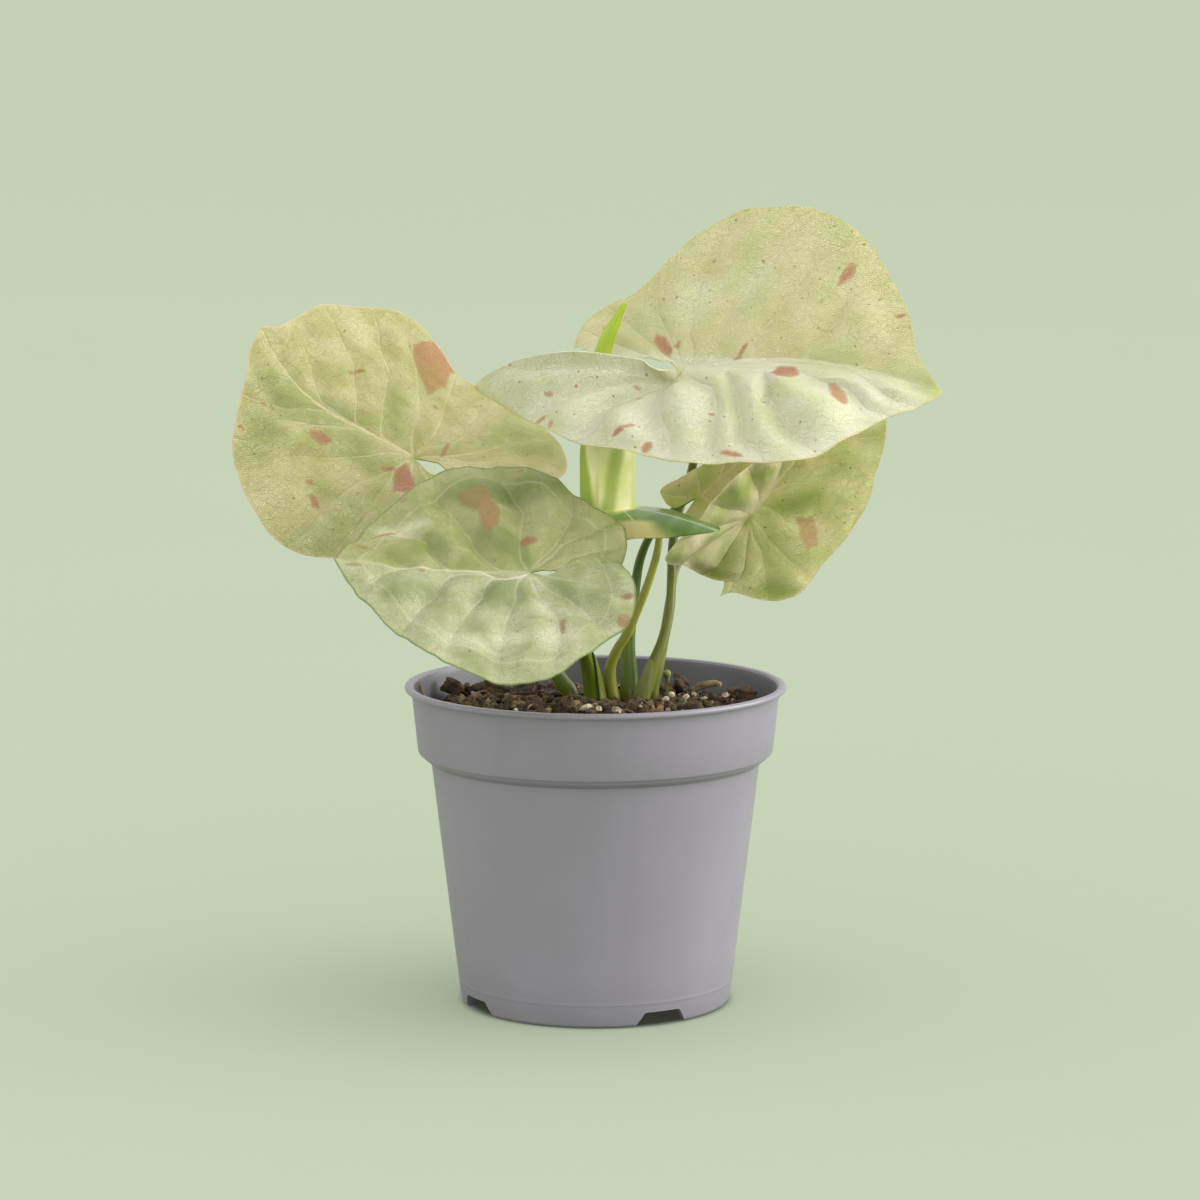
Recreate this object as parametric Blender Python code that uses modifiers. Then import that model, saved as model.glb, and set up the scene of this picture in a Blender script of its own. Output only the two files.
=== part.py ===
# Arrowhead plant in a nursery pot. Driving dimensions are millimetres, the scene is metres, +Z up.
# The pot's axis is the origin of these sizes; FRAME_X and FRAME_Y then centre the whole object.
import math
import random

import bmesh
import bpy
import numpy as np
from mathutils import Vector

MM = 0.001
FRAME_X = 3.0
FRAME_Y = 14.8
CLEAR = 0.3

# Pot: outer sizes
POT_HEIGHT = 101.0
RIM_RADIUS = 60.0
RIM_BEAD = 1.8
COLLAR_TOP_RADIUS = 58.0
COLLAR_FOOT_RADIUS = 55.8
COLLAR_FOOT_DROP = 21.5
STEP_DROP = 24.5
STEP_RADIUS = 51.7
FOOT_RADIUS = 42.5
FOOT_ROUND = 1.6
WALL = 1.2
POT_SEGMENTS = 48

# Pot: foot ring, notches and drain holes
FLOOR_UNDER = 5.0
FLOOR_TOP = 6.2
FOOT_RING_INNER = 38.6
NOTCH_HEIGHT = 4.6
NOTCH_TOP_WIDTH = 12.0
NOTCH_FOOT_WIDTH = 18.0
NOTCH_TURN = -61.0
NOTCH_COUNT = 4
DRAIN_RADIUS = 4.0
DRAIN_RING = 30.0

# Soil
SOIL_EDGE_HEIGHT = 90.5
SOIL_MIDDLE_HEIGHT = 95.0
SOIL_SEGMENTS = 60
SOIL_RINGS = 17
LUMP_COUNT = 90
LUMP_SEED = 7
CROWN = (6.0, 6.0)
CROWN_FLAT = 17.0
LUMP_REACH = 52.0
LUMP_LOW = -1.6
LUMP_HIGH = 3.6

# Leaves
BLADE = 0.7
LEAF_SPOKES = 40
LEAF_SHARES = (0.2, 0.38, 0.55, 0.71, 0.86, 1.0)
RIB_BOW = 8.0
LIFT_POWER = 0.65
SPOKE_CROWD = 1.25
SINUS_BAND = 45.0
STEM_SIDES = 2
STEM_STEP = 4.5
STEM_RUN_IN = 4.0
STEM_TOP_RADIUS = 1.0
HOLE_SPARE = 0.25

# Each leaf: its junction with the stem, its turn (yaw, pitch, roll in degrees), the fold and
# the cup of its left and right half, the arch of its tip and of its lobes (per metre), the
# lift of its two sinus edges, the eye (how the sinus opens at the junction), the wave of its
# margin, the size of its outline, how far its tip leans to the left, how far its midrib bows to
# the left, and the outline as (angle, radius) from the junction, where angle 0 is the tip.
LARGE = {
    "name": "leaf_large",
    "at": (26.6, -5.0, 199.1),
    "turn": (-21.8, 2.2, 49.0),
    "fold": (15.8, 15.8),
    "cup": (-0.9, -0.9),
    "arch": (-5.5, 2.6),
    "lift": (4.0, 16.5),
    "eye": 0.09,
    "wave": (0.7, 7.0, 0.4),
    "size": 1.0,
    "skew": 3.2,
    "rib": 6.2,
    "left": ((0, 82), (3.5, 77.5), (9, 73), (17, 72), (30, 70.5), (44, 70), (58, 66), (68, 60),
             (78, 56), (87, 48.5), (100, 40), (111, 35), (125, 32.5), (144, 36.5), (160, 37.5),
             (169, 37)),
    "right": ((0, 82), (5, 77), (14, 67.5), (28, 63), (42, 60.5), (58, 51.5), (75, 46), (90, 41.5),
              (102, 40), (118, 40.5), (131, 44), (146, 49), (154, 53.5), (162, 59), (170, 66)),
}
LEFT = {
    "name": "leaf_left",
    "at": (-57.2, 12.0, 170.9),
    "turn": (165.0, 30.0, -39.0),
    "fold": (0.0, 0.0),
    "cup": (-6.0, -7.0),
    "arch": (7.5, 5.0),
    "lift": (0.0, 0.0),
    "eye": 0.0,
    "wave": (0.8, 6.0, 1.0),
    "size": 1.014,
    "skew": 0.0,
    "rib": 0.0,
    "left": ((0, 63), (8, 61.5), (17, 58), (28, 57), (39, 57), (49, 56), (60, 55), (72, 53.5),
             (80, 50), (92, 43.5), (105, 44), (120, 45), (132, 48), (146, 47), (158, 40), (169, 28)),
    "right": ((0, 63), (6, 59), (18, 58.5), (26, 59.5), (37, 58), (48, 59), (59, 60), (66, 54.5),
              (78, 44), (90, 44), (105, 45.5), (120, 47.5), (131, 49), (146, 48), (158, 42), (169, 28)),
}
FRONT = {
    "name": "leaf_front",
    "at": (-19.7, -48.0, 142.4),
    "turn": (185.5, 0.0, -30.0),
    "fold": (-2.0, -2.0),
    "cup": (-1.3, 4.7),
    "arch": (3.0, 2.0),
    "lift": (0.0, 0.0),
    "eye": 0.08,
    "wave": (0.8, 7.0, 2.0),
    "size": 0.994,
    "skew": 0.0,
    "rib": 0.0,
    "left": ((0, 60), (8, 57), (17, 54), (30, 52), (46, 51), (62, 50), (79, 50), (91, 49),
             (101, 45), (111, 41), (123, 38), (137, 38), (150, 35), (162, 32), (178, 27)),
    "right": ((0, 60), (10, 55), (20, 52.5), (36, 51), (60, 51), (75, 51), (88, 49), (99, 45),
              (111, 41), (123, 38), (138, 38), (145, 37), (154, 34), (164, 31), (178, 27)),
}
RIGHT = {
    "name": "leaf_right",
    "at": (48.6, 16.5, 151.9),
    "turn": (10.0, 50.0, 100.0),
    "fold": (35.0, 35.0),
    "cup": (2.0, 2.0),
    "arch": (-4.0, -2.0),
    "lift": (0.0, 0.0),
    "eye": 0.0,
    "wave": (0.5, 6.0, 0.0),
    "size": 0.997,
    "skew": 0.0,
    "rib": 0.0,
    "left": ((0, 60), (12, 51), (24, 42), (40, 31), (59, 23), (75, 24), (95, 24), (114, 25),
             (126, 29), (136, 36), (144, 34), (154, 28), (166, 25), (180, 23), (192, 20)),
    "right": ((0, 60), (10, 56.5), (22, 50.5), (34, 42), (48, 37), (61, 33), (76, 29.5), (89, 28.5),
              (106, 29.5), (122, 28.5), (135, 26.5), (149, 25.5), (160, 26)),
}
SMALL = {
    "name": "leaf_small",
    "at": (32.2, 19.5, 157.7),
    "turn": (18.0, 36.0, 90.0),
    "fold": (25.0, 25.0),
    "cup": (2.0, 2.0),
    "arch": (-4.0, -2.0),
    "lift": (0.0, 0.0),
    "eye": 0.0,
    "wave": (0.3, 5.0, 0.0),
    "size": 1.0,
    "skew": 0.0,
    "rib": 0.0,
    "left": ((0, 45), (15, 30), (30, 19), (54, 11.5), (78, 10.5), (105, 11.5), (120, 14),
             (129, 15), (140, 13), (152, 11), (166, 8)),
    "right": ((0, 45), (15, 30), (30, 19), (54, 11.5), (78, 10.5), (105, 11.5), (120, 14),
              (129, 15), (140, 13), (152, 11), (166, 8)),
}
LEAVES = (LARGE, LEFT, FRONT, RIGHT, SMALL)

# The young leaf is still rolled: its tube's centre line with radii, from the foot to the tip,
# and the collar of basal lobes that flares from the foot, as (angle, reach, drop).
ROLL_LINE = ((3.3, -2.0, 157.2, 9.2), (3.3, -2.0, 161.0, 9.35), (3.3, -2.0, 168.0, 9.35),
             (3.3, -2.0, 175.5, 9.2), (3.1, -2.0, 182.5, 7.0), (2.7, -2.3, 190.5, 4.2),
             (2.2, -2.8, 199.2, 2.9), (2.6, -3.3, 206.3, 2.4), (5.2, -3.8, 213.1, 1.9),
             (9.0, -4.0, 220.8, 0.6))
ROLL_TURNS = 1.16
ROLL_START = -104.0
ROLL_TIGHTEN = 0.22
ROLL_SPOKES = 30
ROLL_SLIM_SPAN = 330.0
ROLL_WIDTHS = (7.2, 8.8)
ROLL_PARTS = (1.0, 0.93, 0.86, 0.78, 0.7, 0.6, 0.5, 0.42, 0.34, 0.27, 0.18, 0.09, 0.0)
COLLAR_SHARES = (0.25, 0.5, 0.75, 1.0)
COLLAR_REACH = ((-104, 5, 7), (-82, 9, 9), (-62, 14, 7.5), (-45, 22, 6.5), (-28, 30.5, 5.5),
                (-14, 22, 3.5), (2, 12, 1.5), (20, 5, 2), (60, 2.5, 3), (150, 2, 3), (215, 1.5, 3),
                (245, 0.2, 3), (314, 0.2, 3))

# Stems: route points with radii, from inside the soil to just under the blade
STEMS = {
    "stem_large": ((15.0, 4.0, 84.0, 2.4), (15.0, 4.0, 95.0, 2.4), (16.2, 4.0, 99.8, 2.4),
                   (18.3, 5.0, 106.0, 2.2), (21.3, 7.0, 113.7, 1.8), (23.5, 10.0, 123.0, 1.6),
                   (24.1, 14.0, 132.0, 1.55), (24.5, 20.0, 142.0, 1.5), (26.4, 26.0, 151.5, 1.5),
                   (29.8, 28.0, 161.5, 1.5), (31.6, 21.5, 172.5, 1.45), (31.0, 10.5, 184.0, 1.4)),
    "stem_left": ((-8.0, 10.0, 84.0, 2.6), (-8.0, 10.0, 95.4, 2.6), (-10.2, 10.0, 99.4, 2.5),
                  (-14.0, 10.0, 105.2, 2.1), (-23.9, 10.5, 121.2, 1.7), (-36.5, 11.5, 141.8, 1.5),
                  (-49.0, 12.5, 160.7, 1.4)),
    "stem_front": ((-0.6, 1.5, 84.0, 3.0), (-0.6, 1.5, 95.1, 3.0), (-1.2, 0.4, 101.0, 2.9),
                   (-2.6, -4.0, 109.0, 2.5), (-5.5, -13.0, 118.2, 2.0), (-10.9, -27.0, 129.0, 1.7),
                   (-15.9, -40.0, 136.5, 1.5)),
    "stem_right": ((18.3, 11.5, 84.0, 1.9), (18.3, 11.5, 97.0, 1.9), (19.8, 12.5, 103.3, 1.8),
                   (21.7, 15.5, 112.3, 1.7), (23.7, 21.0, 124.3, 1.5), (25.6, 27.5, 133.5, 1.4),
                   (30.8, 31.5, 141.0, 1.3), (40.0, 29.5, 147.5, 1.3)),
    "stem_small": ((11.5, 9.5, 84.0, 2.7), (11.5, 9.5, 94.2, 2.7), (11.0, 9.6, 100.6, 2.6),
                   (10.6, 10.0, 113.2, 2.1), (12.5, 12.0, 128.8, 1.7), (14.1, 14.0, 138.1, 1.5),
                   (17.4, 17.0, 145.6, 1.3), (22.5, 20.0, 151.4, 1.2)),
    "stem_young": ((5.8, 3.0, 84.0, 2.1), (5.8, 3.0, 94.6, 2.1), (4.9, 3.0, 99.9, 2.0),
                   (4.7, 2.8, 105.4, 1.9), (6.8, 2.2, 111.1, 1.7), (10.2, 1.4, 116.8, 1.6),
                   (13.0, 0.4, 123.8, 1.5), (15.8, -1.6, 131.0, 1.4), (18.4, -4.0, 139.5, 1.3),
                   (19.8, -6.5, 147.0, 1.2), (20.0, -7.3, 155.4, 1.1)),
}
# How each stem meets its blade: how far under it, and its lean towards the tip
JOINS = {"stem_large": (0.72, 0.3), "stem_left": (1.15, 0.5), "stem_front": (1.14, 0.5),
         "stem_right": (0.88, 0.2), "stem_small": (1.42, 1.2)}


def clear_scene():
    for thing in list(bpy.data.objects):
        bpy.data.objects.remove(thing)


def collection(name, hidden=False):
    found = bpy.data.collections.new(name)
    bpy.context.scene.collection.children.link(found)
    found.hide_render = hidden
    return found


def material(name, colour, roughness):
    made = bpy.data.materials.new(name)
    made.use_nodes = True
    shader = made.node_tree.nodes["Principled BSDF"]
    shader.inputs["Base Color"].default_value = (*colour, 1.0)
    shader.inputs["Roughness"].default_value = roughness
    return made


def catmull(points, count):
    """A smooth curve through all points, read at count places spaced by chord."""
    knots = np.array(points, float)
    padded = np.vstack([2 * knots[0] - knots[1], knots, 2 * knots[-1] - knots[-2]])
    chord = np.linalg.norm(np.diff(knots[:, :3], axis=0), axis=1)
    place = np.concatenate([[0.0], np.cumsum(chord)])
    wanted = np.linspace(0.0, place[-1], count)
    index = np.clip(np.searchsorted(place, wanted, side="right") - 1, 0, len(knots) - 2)
    t = ((wanted - place[index]) / chord[index])[:, None]
    a, b, c, d = padded[index], padded[index + 1], padded[index + 2], padded[index + 3]
    return 0.5 * (2 * b + (c - a) * t + (2 * a - 5 * b + 4 * c - d) * t ** 2
                  + (3 * b - a - 3 * c + d) * t ** 3)


def smooth_at(pairs, wanted):
    """Catmull-Rom through (angle, value, ...) rows, read at the wanted angles."""
    rows = np.array(pairs, float)
    padded = np.vstack([2 * rows[0] - rows[1], rows, 2 * rows[-1] - rows[-2]])
    wanted = np.asarray(wanted, float)
    index = np.clip(np.searchsorted(rows[:, 0], wanted, side="right") - 1, 0, len(rows) - 2)
    t = ((wanted - rows[index, 0]) / (rows[index + 1, 0] - rows[index, 0]))[:, None]
    a, b, c, d = padded[index], padded[index + 1], padded[index + 2], padded[index + 3]
    value = 0.5 * (2 * b + (c - a) * t + (2 * a - 5 * b + 4 * c - d) * t ** 2
                   + (3 * b - a - 3 * c + d) * t ** 3)
    return value[:, 1:]


def turn_matrix(turn):
    yaw, pitch, roll = np.radians(turn)
    about_z = np.array([[math.cos(yaw), -math.sin(yaw), 0], [math.sin(yaw), math.cos(yaw), 0],
                        [0, 0, 1]])
    about_y = np.array([[math.cos(pitch), 0, -math.sin(pitch)], [0, 1, 0],
                        [math.sin(pitch), 0, math.cos(pitch)]])
    about_x = np.array([[1, 0, 0], [0, math.cos(roll), -math.sin(roll)],
                        [0, math.sin(roll), math.cos(roll)]])
    return about_z @ about_y @ about_x


def bend(length, start, per_mm):
    """An arc of the given length: how far along and how high it ends."""
    rate = np.where(np.abs(per_mm) < 1e-7, 1e-7, per_mm)
    end = start + rate * length
    return (np.sin(end) - np.sin(start)) / rate, (np.cos(start) - np.cos(end)) / rate


def leaf_points(leaf, angle, share):
    """Blade points at angles (degrees, left positive) and shares of the outline's radius."""
    radius = np.where(angle >= 0, smooth_at(leaf["left"], np.abs(angle))[:, 0],
                      smooth_at(leaf["right"], np.abs(angle))[:, 0])
    last = np.where(angle >= 0, leaf["left"][-1][0], leaf["right"][-1][0])
    reach = leaf["size"] * radius * share
    spread = np.radians(angle) * (1 - leaf["eye"] * (1 - share) ** 3)
    spread = spread + math.radians(leaf["skew"]) * (1 + np.cos(np.radians(angle))) / 2
    x = reach * np.cos(spread)
    y = reach * np.sin(spread)
    rib = leaf["rib"] * (1 - np.exp(-np.clip(x, 0, None) / RIB_BOW))
    side = y >= rib
    fold = np.radians(np.where(side, leaf["fold"][0], leaf["fold"][1]))
    cup = np.where(side, leaf["cup"][0], leaf["cup"][1]) / 1000
    across, height = bend(np.abs(y - rib), fold, cup)
    across = rib + np.where(side, across, -across)
    amount, count, phase = leaf["wave"]
    height = height + amount * share ** 2 * np.sin(np.radians(angle) * count + phase)
    near = np.clip((np.abs(angle) - last + SINUS_BAND) / SINUS_BAND, 0, 1) ** 2
    lift = np.where(angle >= 0, leaf["lift"][0], leaf["lift"][1])
    height = height + lift * near * np.clip(np.sin(math.pi * share), 0, 1) ** LIFT_POWER
    arch = np.where(x >= 0, leaf["arch"][0], leaf["arch"][1]) / 1000
    arch = np.where(np.abs(arch) < 1e-7, 1e-7, arch)
    turned = arch * x
    local = np.stack([np.sin(turned) / arch - height * np.sin(turned), across,
                      (1 - np.cos(turned)) / arch + height * np.cos(turned)], axis=-1)
    return np.array(leaf["at"]) + local @ turn_matrix(leaf["turn"]).T


def solid_from_sheet(name, points, faces, thickness, colour, home):
    """A closed blade: the open sheet is split into triangles first, then thickened."""
    mesh = bpy.data.meshes.new(name)
    mesh.from_pydata([tuple(p * MM) for p in points], [], faces)
    mesh.update()
    made = bpy.data.objects.new(name, mesh)
    home.objects.link(made)
    work = bmesh.new()
    work.from_mesh(mesh)
    bmesh.ops.triangulate(work, faces=work.faces[:])
    work.to_mesh(mesh)
    work.free()
    thick = made.modifiers.new("thickness", "SOLIDIFY")
    thick.thickness = thickness * MM
    thick.offset = 0.0
    apply_modifiers(made)
    mesh = made.data
    mesh.materials.append(colour)
    return made


def apply_modifiers(made):
    bpy.context.view_layer.update()
    graph = bpy.context.evaluated_depsgraph_get()
    mesh = bpy.data.meshes.new_from_object(made.evaluated_get(graph))
    made.modifiers.clear()
    made.data = mesh
    mesh.name = made.name


def build_leaf(leaf, colour, home):
    left_end = leaf["left"][-1][0]
    right_end = leaf["right"][-1][0]
    left_count = round(LEAF_SPOKES / 2 * left_end / 170)
    right_count = round(LEAF_SPOKES / 2 * right_end / 170)
    # The spokes lie closer together towards the pointed tip
    right_angles = -right_end * np.linspace(1, 0, right_count + 1) ** SPOKE_CROWD
    left_angles = left_end * np.linspace(0, 1, left_count + 1) ** SPOKE_CROWD
    angles = np.concatenate([right_angles[:-1], left_angles])
    points = [leaf_points(leaf, np.array([0.0]), np.array([0.0]))[0]]
    for share in LEAF_SHARES:
        points.extend(leaf_points(leaf, angles, np.full(len(angles), share)))
    faces = []
    spokes = len(angles)
    for k in range(spokes - 1):
        faces.append((0, 1 + k, 2 + k))
        for ring in range(len(LEAF_SHARES) - 1):
            near = 1 + ring * spokes + k
            far = near + spokes
            faces.append((near, far, far + 1, near + 1))
    return solid_from_sheet(leaf["name"] + "_blade", points, faces, BLADE, colour, home)


def roll_centre(part):
    """The tube's centre and radius, with part 0 at the foot and 1 at the tip."""
    line = catmull(ROLL_LINE, 41)
    return [float(np.interp(part, np.linspace(0, 1, 41), line[:, i])) for i in range(4)]


def roll_points(angle, part):
    """One row of the rolled blade, at angles in degrees round the tube."""
    x, y, z, wide = roll_centre(part)
    turn_share = (angle - ROLL_START) / (360 * ROLL_TURNS)
    radius = wide * (1 - ROLL_TIGHTEN * turn_share * min(1.0, max(0.0, (wide - 4.0) / 4)))
    return np.stack([x + radius * np.cos(np.radians(angle)),
                     y + radius * np.sin(np.radians(angle)), z + 0 * angle], axis=-1)


def build_young(colour, home):
    full = 360 * ROLL_TURNS
    rows = []
    for part in ROLL_PARTS:
        # Where the tube is slim, the blade is narrower than a full turn
        slim, wide = ROLL_WIDTHS
        share = (roll_centre(part)[3] - slim) / (wide - slim)
        span = ROLL_SLIM_SPAN + (full - ROLL_SLIM_SPAN) * min(1.0, max(0.0, share))
        angles = np.linspace(ROLL_START, ROLL_START + span, ROLL_SPOKES + 1)
        rows.append(roll_points(angles, part))
    foot = rows[-1]
    flare = smooth_at(COLLAR_REACH, angles)
    away = np.stack([np.cos(np.radians(angles)), np.sin(np.radians(angles)), 0 * angles], -1)
    for share in COLLAR_SHARES:
        reach = flare[:, :1] * share
        drop = flare[:, 1:] * (share + share ** 2) / 2
        rows.append(foot + away * reach - np.array([0, 0, 1.0]) * drop)
    points = np.concatenate(rows)
    faces = []
    across = ROLL_SPOKES + 1
    for row in range(len(rows) - 1):
        for k in range(ROLL_SPOKES):
            a = row * across + k
            faces.append((a, a + across, a + across + 1, a + 1))
    return solid_from_sheet("leaf_young_blade", points, faces, BLADE, colour, home)


def build_tube(name, route, colour, home):
    route = np.array(route, float)
    length = np.linalg.norm(np.diff(route[:, :3], axis=0), axis=1).sum()
    line = catmull(route, max(4, round(length / STEM_STEP)))
    curve = bpy.data.curves.new(name, "CURVE")
    curve.dimensions = "3D"
    curve.bevel_depth = MM
    curve.bevel_resolution = STEM_SIDES
    curve.use_fill_caps = True
    spline = curve.splines.new("POLY")
    spline.points.add(len(line) - 1)
    for point, row in zip(spline.points, line):
        point.co = (row[0] * MM, row[1] * MM, row[2] * MM, 1)
        point.radius = row[3]
    made = bpy.data.objects.new(name, curve)
    home.objects.link(made)
    bpy.context.view_layer.update()
    graph = bpy.context.evaluated_depsgraph_get()
    mesh = bpy.data.meshes.new_from_object(made.evaluated_get(graph))
    mesh.name = name
    bpy.data.objects.remove(made)
    made = bpy.data.objects.new(name, mesh)
    home.objects.link(made)
    work = bmesh.new()
    work.from_mesh(mesh)
    bmesh.ops.remove_doubles(work, verts=work.verts[:], dist=0.00001)
    bmesh.ops.recalc_face_normals(work, faces=work.faces[:])
    work.to_mesh(mesh)
    work.free()
    mesh.materials.clear()
    mesh.materials.append(colour)
    return made


def screw_solid(name, profile, segments, home, colour):
    """A turned solid from a profile that runs down its outer side, top to bottom."""
    mesh = bpy.data.meshes.new(name)
    mesh.from_pydata([(r * MM, 0, z * MM) for r, z in profile],
                     [(i, i + 1) for i in range(len(profile) - 1)], [])
    made = bpy.data.objects.new(name, mesh)
    home.objects.link(made)
    screw = made.modifiers.new("turn", "SCREW")
    screw.angle = 2 * math.pi
    screw.steps = segments
    screw.render_steps = segments
    screw.use_merge_vertices = True
    screw.merge_threshold = 0.00001
    screw.use_normal_calculate = True
    screw.use_normal_flip = False
    apply_modifiers(made)
    work = bmesh.new()
    work.from_mesh(made.data)
    bmesh.ops.remove_doubles(work, verts=work.verts[:], dist=0.00001)
    bmesh.ops.recalc_face_normals(work, faces=work.faces[:])
    work.to_mesh(made.data)
    work.free()
    made.data.materials.clear()
    made.data.materials.append(colour)
    return made


def cut(made, cutters):
    for cutter in cutters:
        hole = made.modifiers.new("cut", "BOOLEAN")
        hole.operation = "DIFFERENCE"
        hole.solver = "EXACT"
        hole.object = cutter
    apply_modifiers(made)


def outer_radius(height):
    """The pot's outer radius at a height, without the lip."""
    step = POT_HEIGHT - STEP_DROP
    collar = POT_HEIGHT - COLLAR_FOOT_DROP
    return float(np.interp(height, (0, step, collar, POT_HEIGHT),
                           (FOOT_RADIUS, STEP_RADIUS, COLLAR_FOOT_RADIUS, COLLAR_TOP_RADIUS)))


def inner_radius(height):
    return outer_radius(height) - WALL


def build_pot(home, tools, colour):
    top = POT_HEIGHT
    collar = top - COLLAR_FOOT_DROP
    step = top - STEP_DROP
    profile = [(0, FLOOR_TOP), (20, FLOOR_TOP), (inner_radius(8) - 1.5, FLOOR_TOP),
               (inner_radius(8), 8), (inner_radius(step), step - 0.6), (inner_radius(collar), collar - 0.6),
               (inner_radius(top), top - 1.2), (inner_radius(top) + 0.6, top - 0.2),
               (inner_radius(top) + 1.3, top), (RIM_RADIUS - 0.8, top), (RIM_RADIUS - 0.15, top - 0.3),
               (RIM_RADIUS, top - 0.9), (RIM_RADIUS - 0.15, top - 1.5), (RIM_RADIUS - 0.8, top - RIM_BEAD),
               (outer_radius(top - 2.2) + 0.1, top - RIM_BEAD - 0.15),
               (outer_radius(top - 3.0), top - 3.0), (outer_radius(collar), collar),
               (STEP_RADIUS, step), (outer_radius(FOOT_ROUND + 0.4), FOOT_ROUND + 0.4),
               (FOOT_RADIUS - 0.5, 0.45), (FOOT_RADIUS - FOOT_ROUND + 0.2, 0),
               (FOOT_RING_INNER, 0), (FOOT_RING_INNER, FLOOR_UNDER), (18, FLOOR_UNDER), (0, FLOOR_UNDER)]
    pot = screw_solid("pot", profile, POT_SEGMENTS, home, colour)
    cutters = []
    for k in range(NOTCH_COUNT):
        turn = math.radians(NOTCH_TURN + k * 360 / NOTCH_COUNT)
        shape = [(-NOTCH_FOOT_WIDTH / 2, -3), (NOTCH_FOOT_WIDTH / 2, -3), (NOTCH_FOOT_WIDTH / 2, 0),
                 (NOTCH_TOP_WIDTH / 2 + 1.2, NOTCH_HEIGHT - 1.0), (NOTCH_TOP_WIDTH / 2 - 0.6, NOTCH_HEIGHT),
                 (-NOTCH_TOP_WIDTH / 2 + 0.6, NOTCH_HEIGHT),
                 (-NOTCH_TOP_WIDTH / 2 - 1.2, NOTCH_HEIGHT - 1.0),
                 (-NOTCH_FOOT_WIDTH / 2, 0)]
        count = len(shape)
        verts = []
        for reach in (FOOT_RING_INNER - 4.0, FOOT_RADIUS + 4.0):
            for across, up in shape:
                verts.append(Vector((math.cos(turn) * reach - math.sin(turn) * across,
                                     math.sin(turn) * reach + math.cos(turn) * across, up)) * MM)
        faces = [tuple(range(count))[::-1], tuple(range(count, 2 * count))]
        for i in range(count):
            j = (i + 1) % count
            faces.append((i, j, count + j, count + i))
        mesh = bpy.data.meshes.new("notch_cutter")
        mesh.from_pydata(verts, [], faces)
        cutter = bpy.data.objects.new("notch_cutter", mesh)
        tools.objects.link(cutter)
        cutters.append(cutter)
        middle = Vector((math.cos(turn) * DRAIN_RING, math.sin(turn) * DRAIN_RING, 5.6)) * MM
        cutters.append(cylinder("drain_cutter", DRAIN_RADIUS, 6.0, middle, tools, 16))
    for cutter in cutters:
        finish_cutter(cutter)
    cut(pot, cutters)
    return pot


def cylinder(name, radius, height, middle, home, sides):
    mesh = bpy.data.meshes.new(name)
    work = bmesh.new()
    bmesh.ops.create_cone(work, cap_ends=True, segments=sides, radius1=radius * MM,
                          radius2=radius * MM, depth=height * MM)
    bmesh.ops.translate(work, verts=work.verts[:], vec=middle)
    work.to_mesh(mesh)
    work.free()
    made = bpy.data.objects.new(name, mesh)
    home.objects.link(made)
    return made


def finish_cutter(cutter):
    work = bmesh.new()
    work.from_mesh(cutter.data)
    bmesh.ops.recalc_face_normals(work, faces=work.faces[:])
    work.to_mesh(cutter.data)
    work.free()
    cutter.hide_render = True
    cutter.display_type = "WIRE"


def soil_height(x, y):
    """The soil's surface: a low mound, level round the stems, with seeded lumps."""
    from_axis = np.hypot(x, y)
    base = SOIL_EDGE_HEIGHT + (SOIL_MIDDLE_HEIGHT - SOIL_EDGE_HEIGHT) * (
        1 - np.clip(from_axis / LUMP_REACH, 0, 1) ** 1.6)
    draw = random.Random(LUMP_SEED)
    lumps = np.zeros_like(x)
    for _ in range(LUMP_COUNT):
        reach = LUMP_REACH * math.sqrt(draw.random())
        turn = draw.uniform(0, 2 * math.pi)
        size = draw.uniform(4.5, 8.5)
        tall = draw.uniform(-0.9, 2.2)
        gap = np.hypot(x - reach * math.cos(turn), y - reach * math.sin(turn)) / size
        lumps = lumps + tall * np.clip(1 - gap ** 2, 0, None) ** 2
    lumps = np.clip(lumps, LUMP_LOW, LUMP_HIGH)
    calm = np.clip((np.hypot(x - CROWN[0], y - CROWN[1]) - CROWN_FLAT) / 8, 0, 1)
    near_wall = np.clip((55 - from_axis) / 6, 0, 1)
    level = SOIL_MIDDLE_HEIGHT - 0.5
    return level + (base + lumps * near_wall - level) * calm


def build_soil(home, tools, colour):
    step = POT_HEIGHT - STEP_DROP
    collar = POT_HEIGHT - COLLAR_FOOT_DROP
    edge = inner_radius(SOIL_EDGE_HEIGHT) - CLEAR
    profile = [(edge * i / SOIL_RINGS, SOIL_EDGE_HEIGHT) for i in range(SOIL_RINGS + 1)]
    profile += [(inner_radius(collar) - CLEAR, collar + 1.0),
                (inner_radius(step) - CLEAR, step + 0.4), (inner_radius(8) - CLEAR, 8.6),
                (inner_radius(8) - 1.9, FLOOR_TOP + CLEAR), (0, FLOOR_TOP + CLEAR)]
    soil = screw_solid("soil", profile, SOIL_SEGMENTS, home, colour)
    for vertex in soil.data.vertices:
        if vertex.co.z > (SOIL_EDGE_HEIGHT - 0.1) * MM:
            x, y = vertex.co.x / MM, vertex.co.y / MM
            vertex.co.z = float(soil_height(np.array([x]), np.array([y]))[0]) * MM
    cutters = []
    for name, route in STEMS.items():
        x, y, z, radius = route[0]
        middle = Vector((x, y, z - CLEAR + 20)) * MM
        cutter = cylinder("hole_cutter", radius + CLEAR + HOLE_SPARE, 40, middle, tools, 16)
        finish_cutter(cutter)
        cutters.append(cutter)
    cut(soil, cutters)
    return soil


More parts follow.
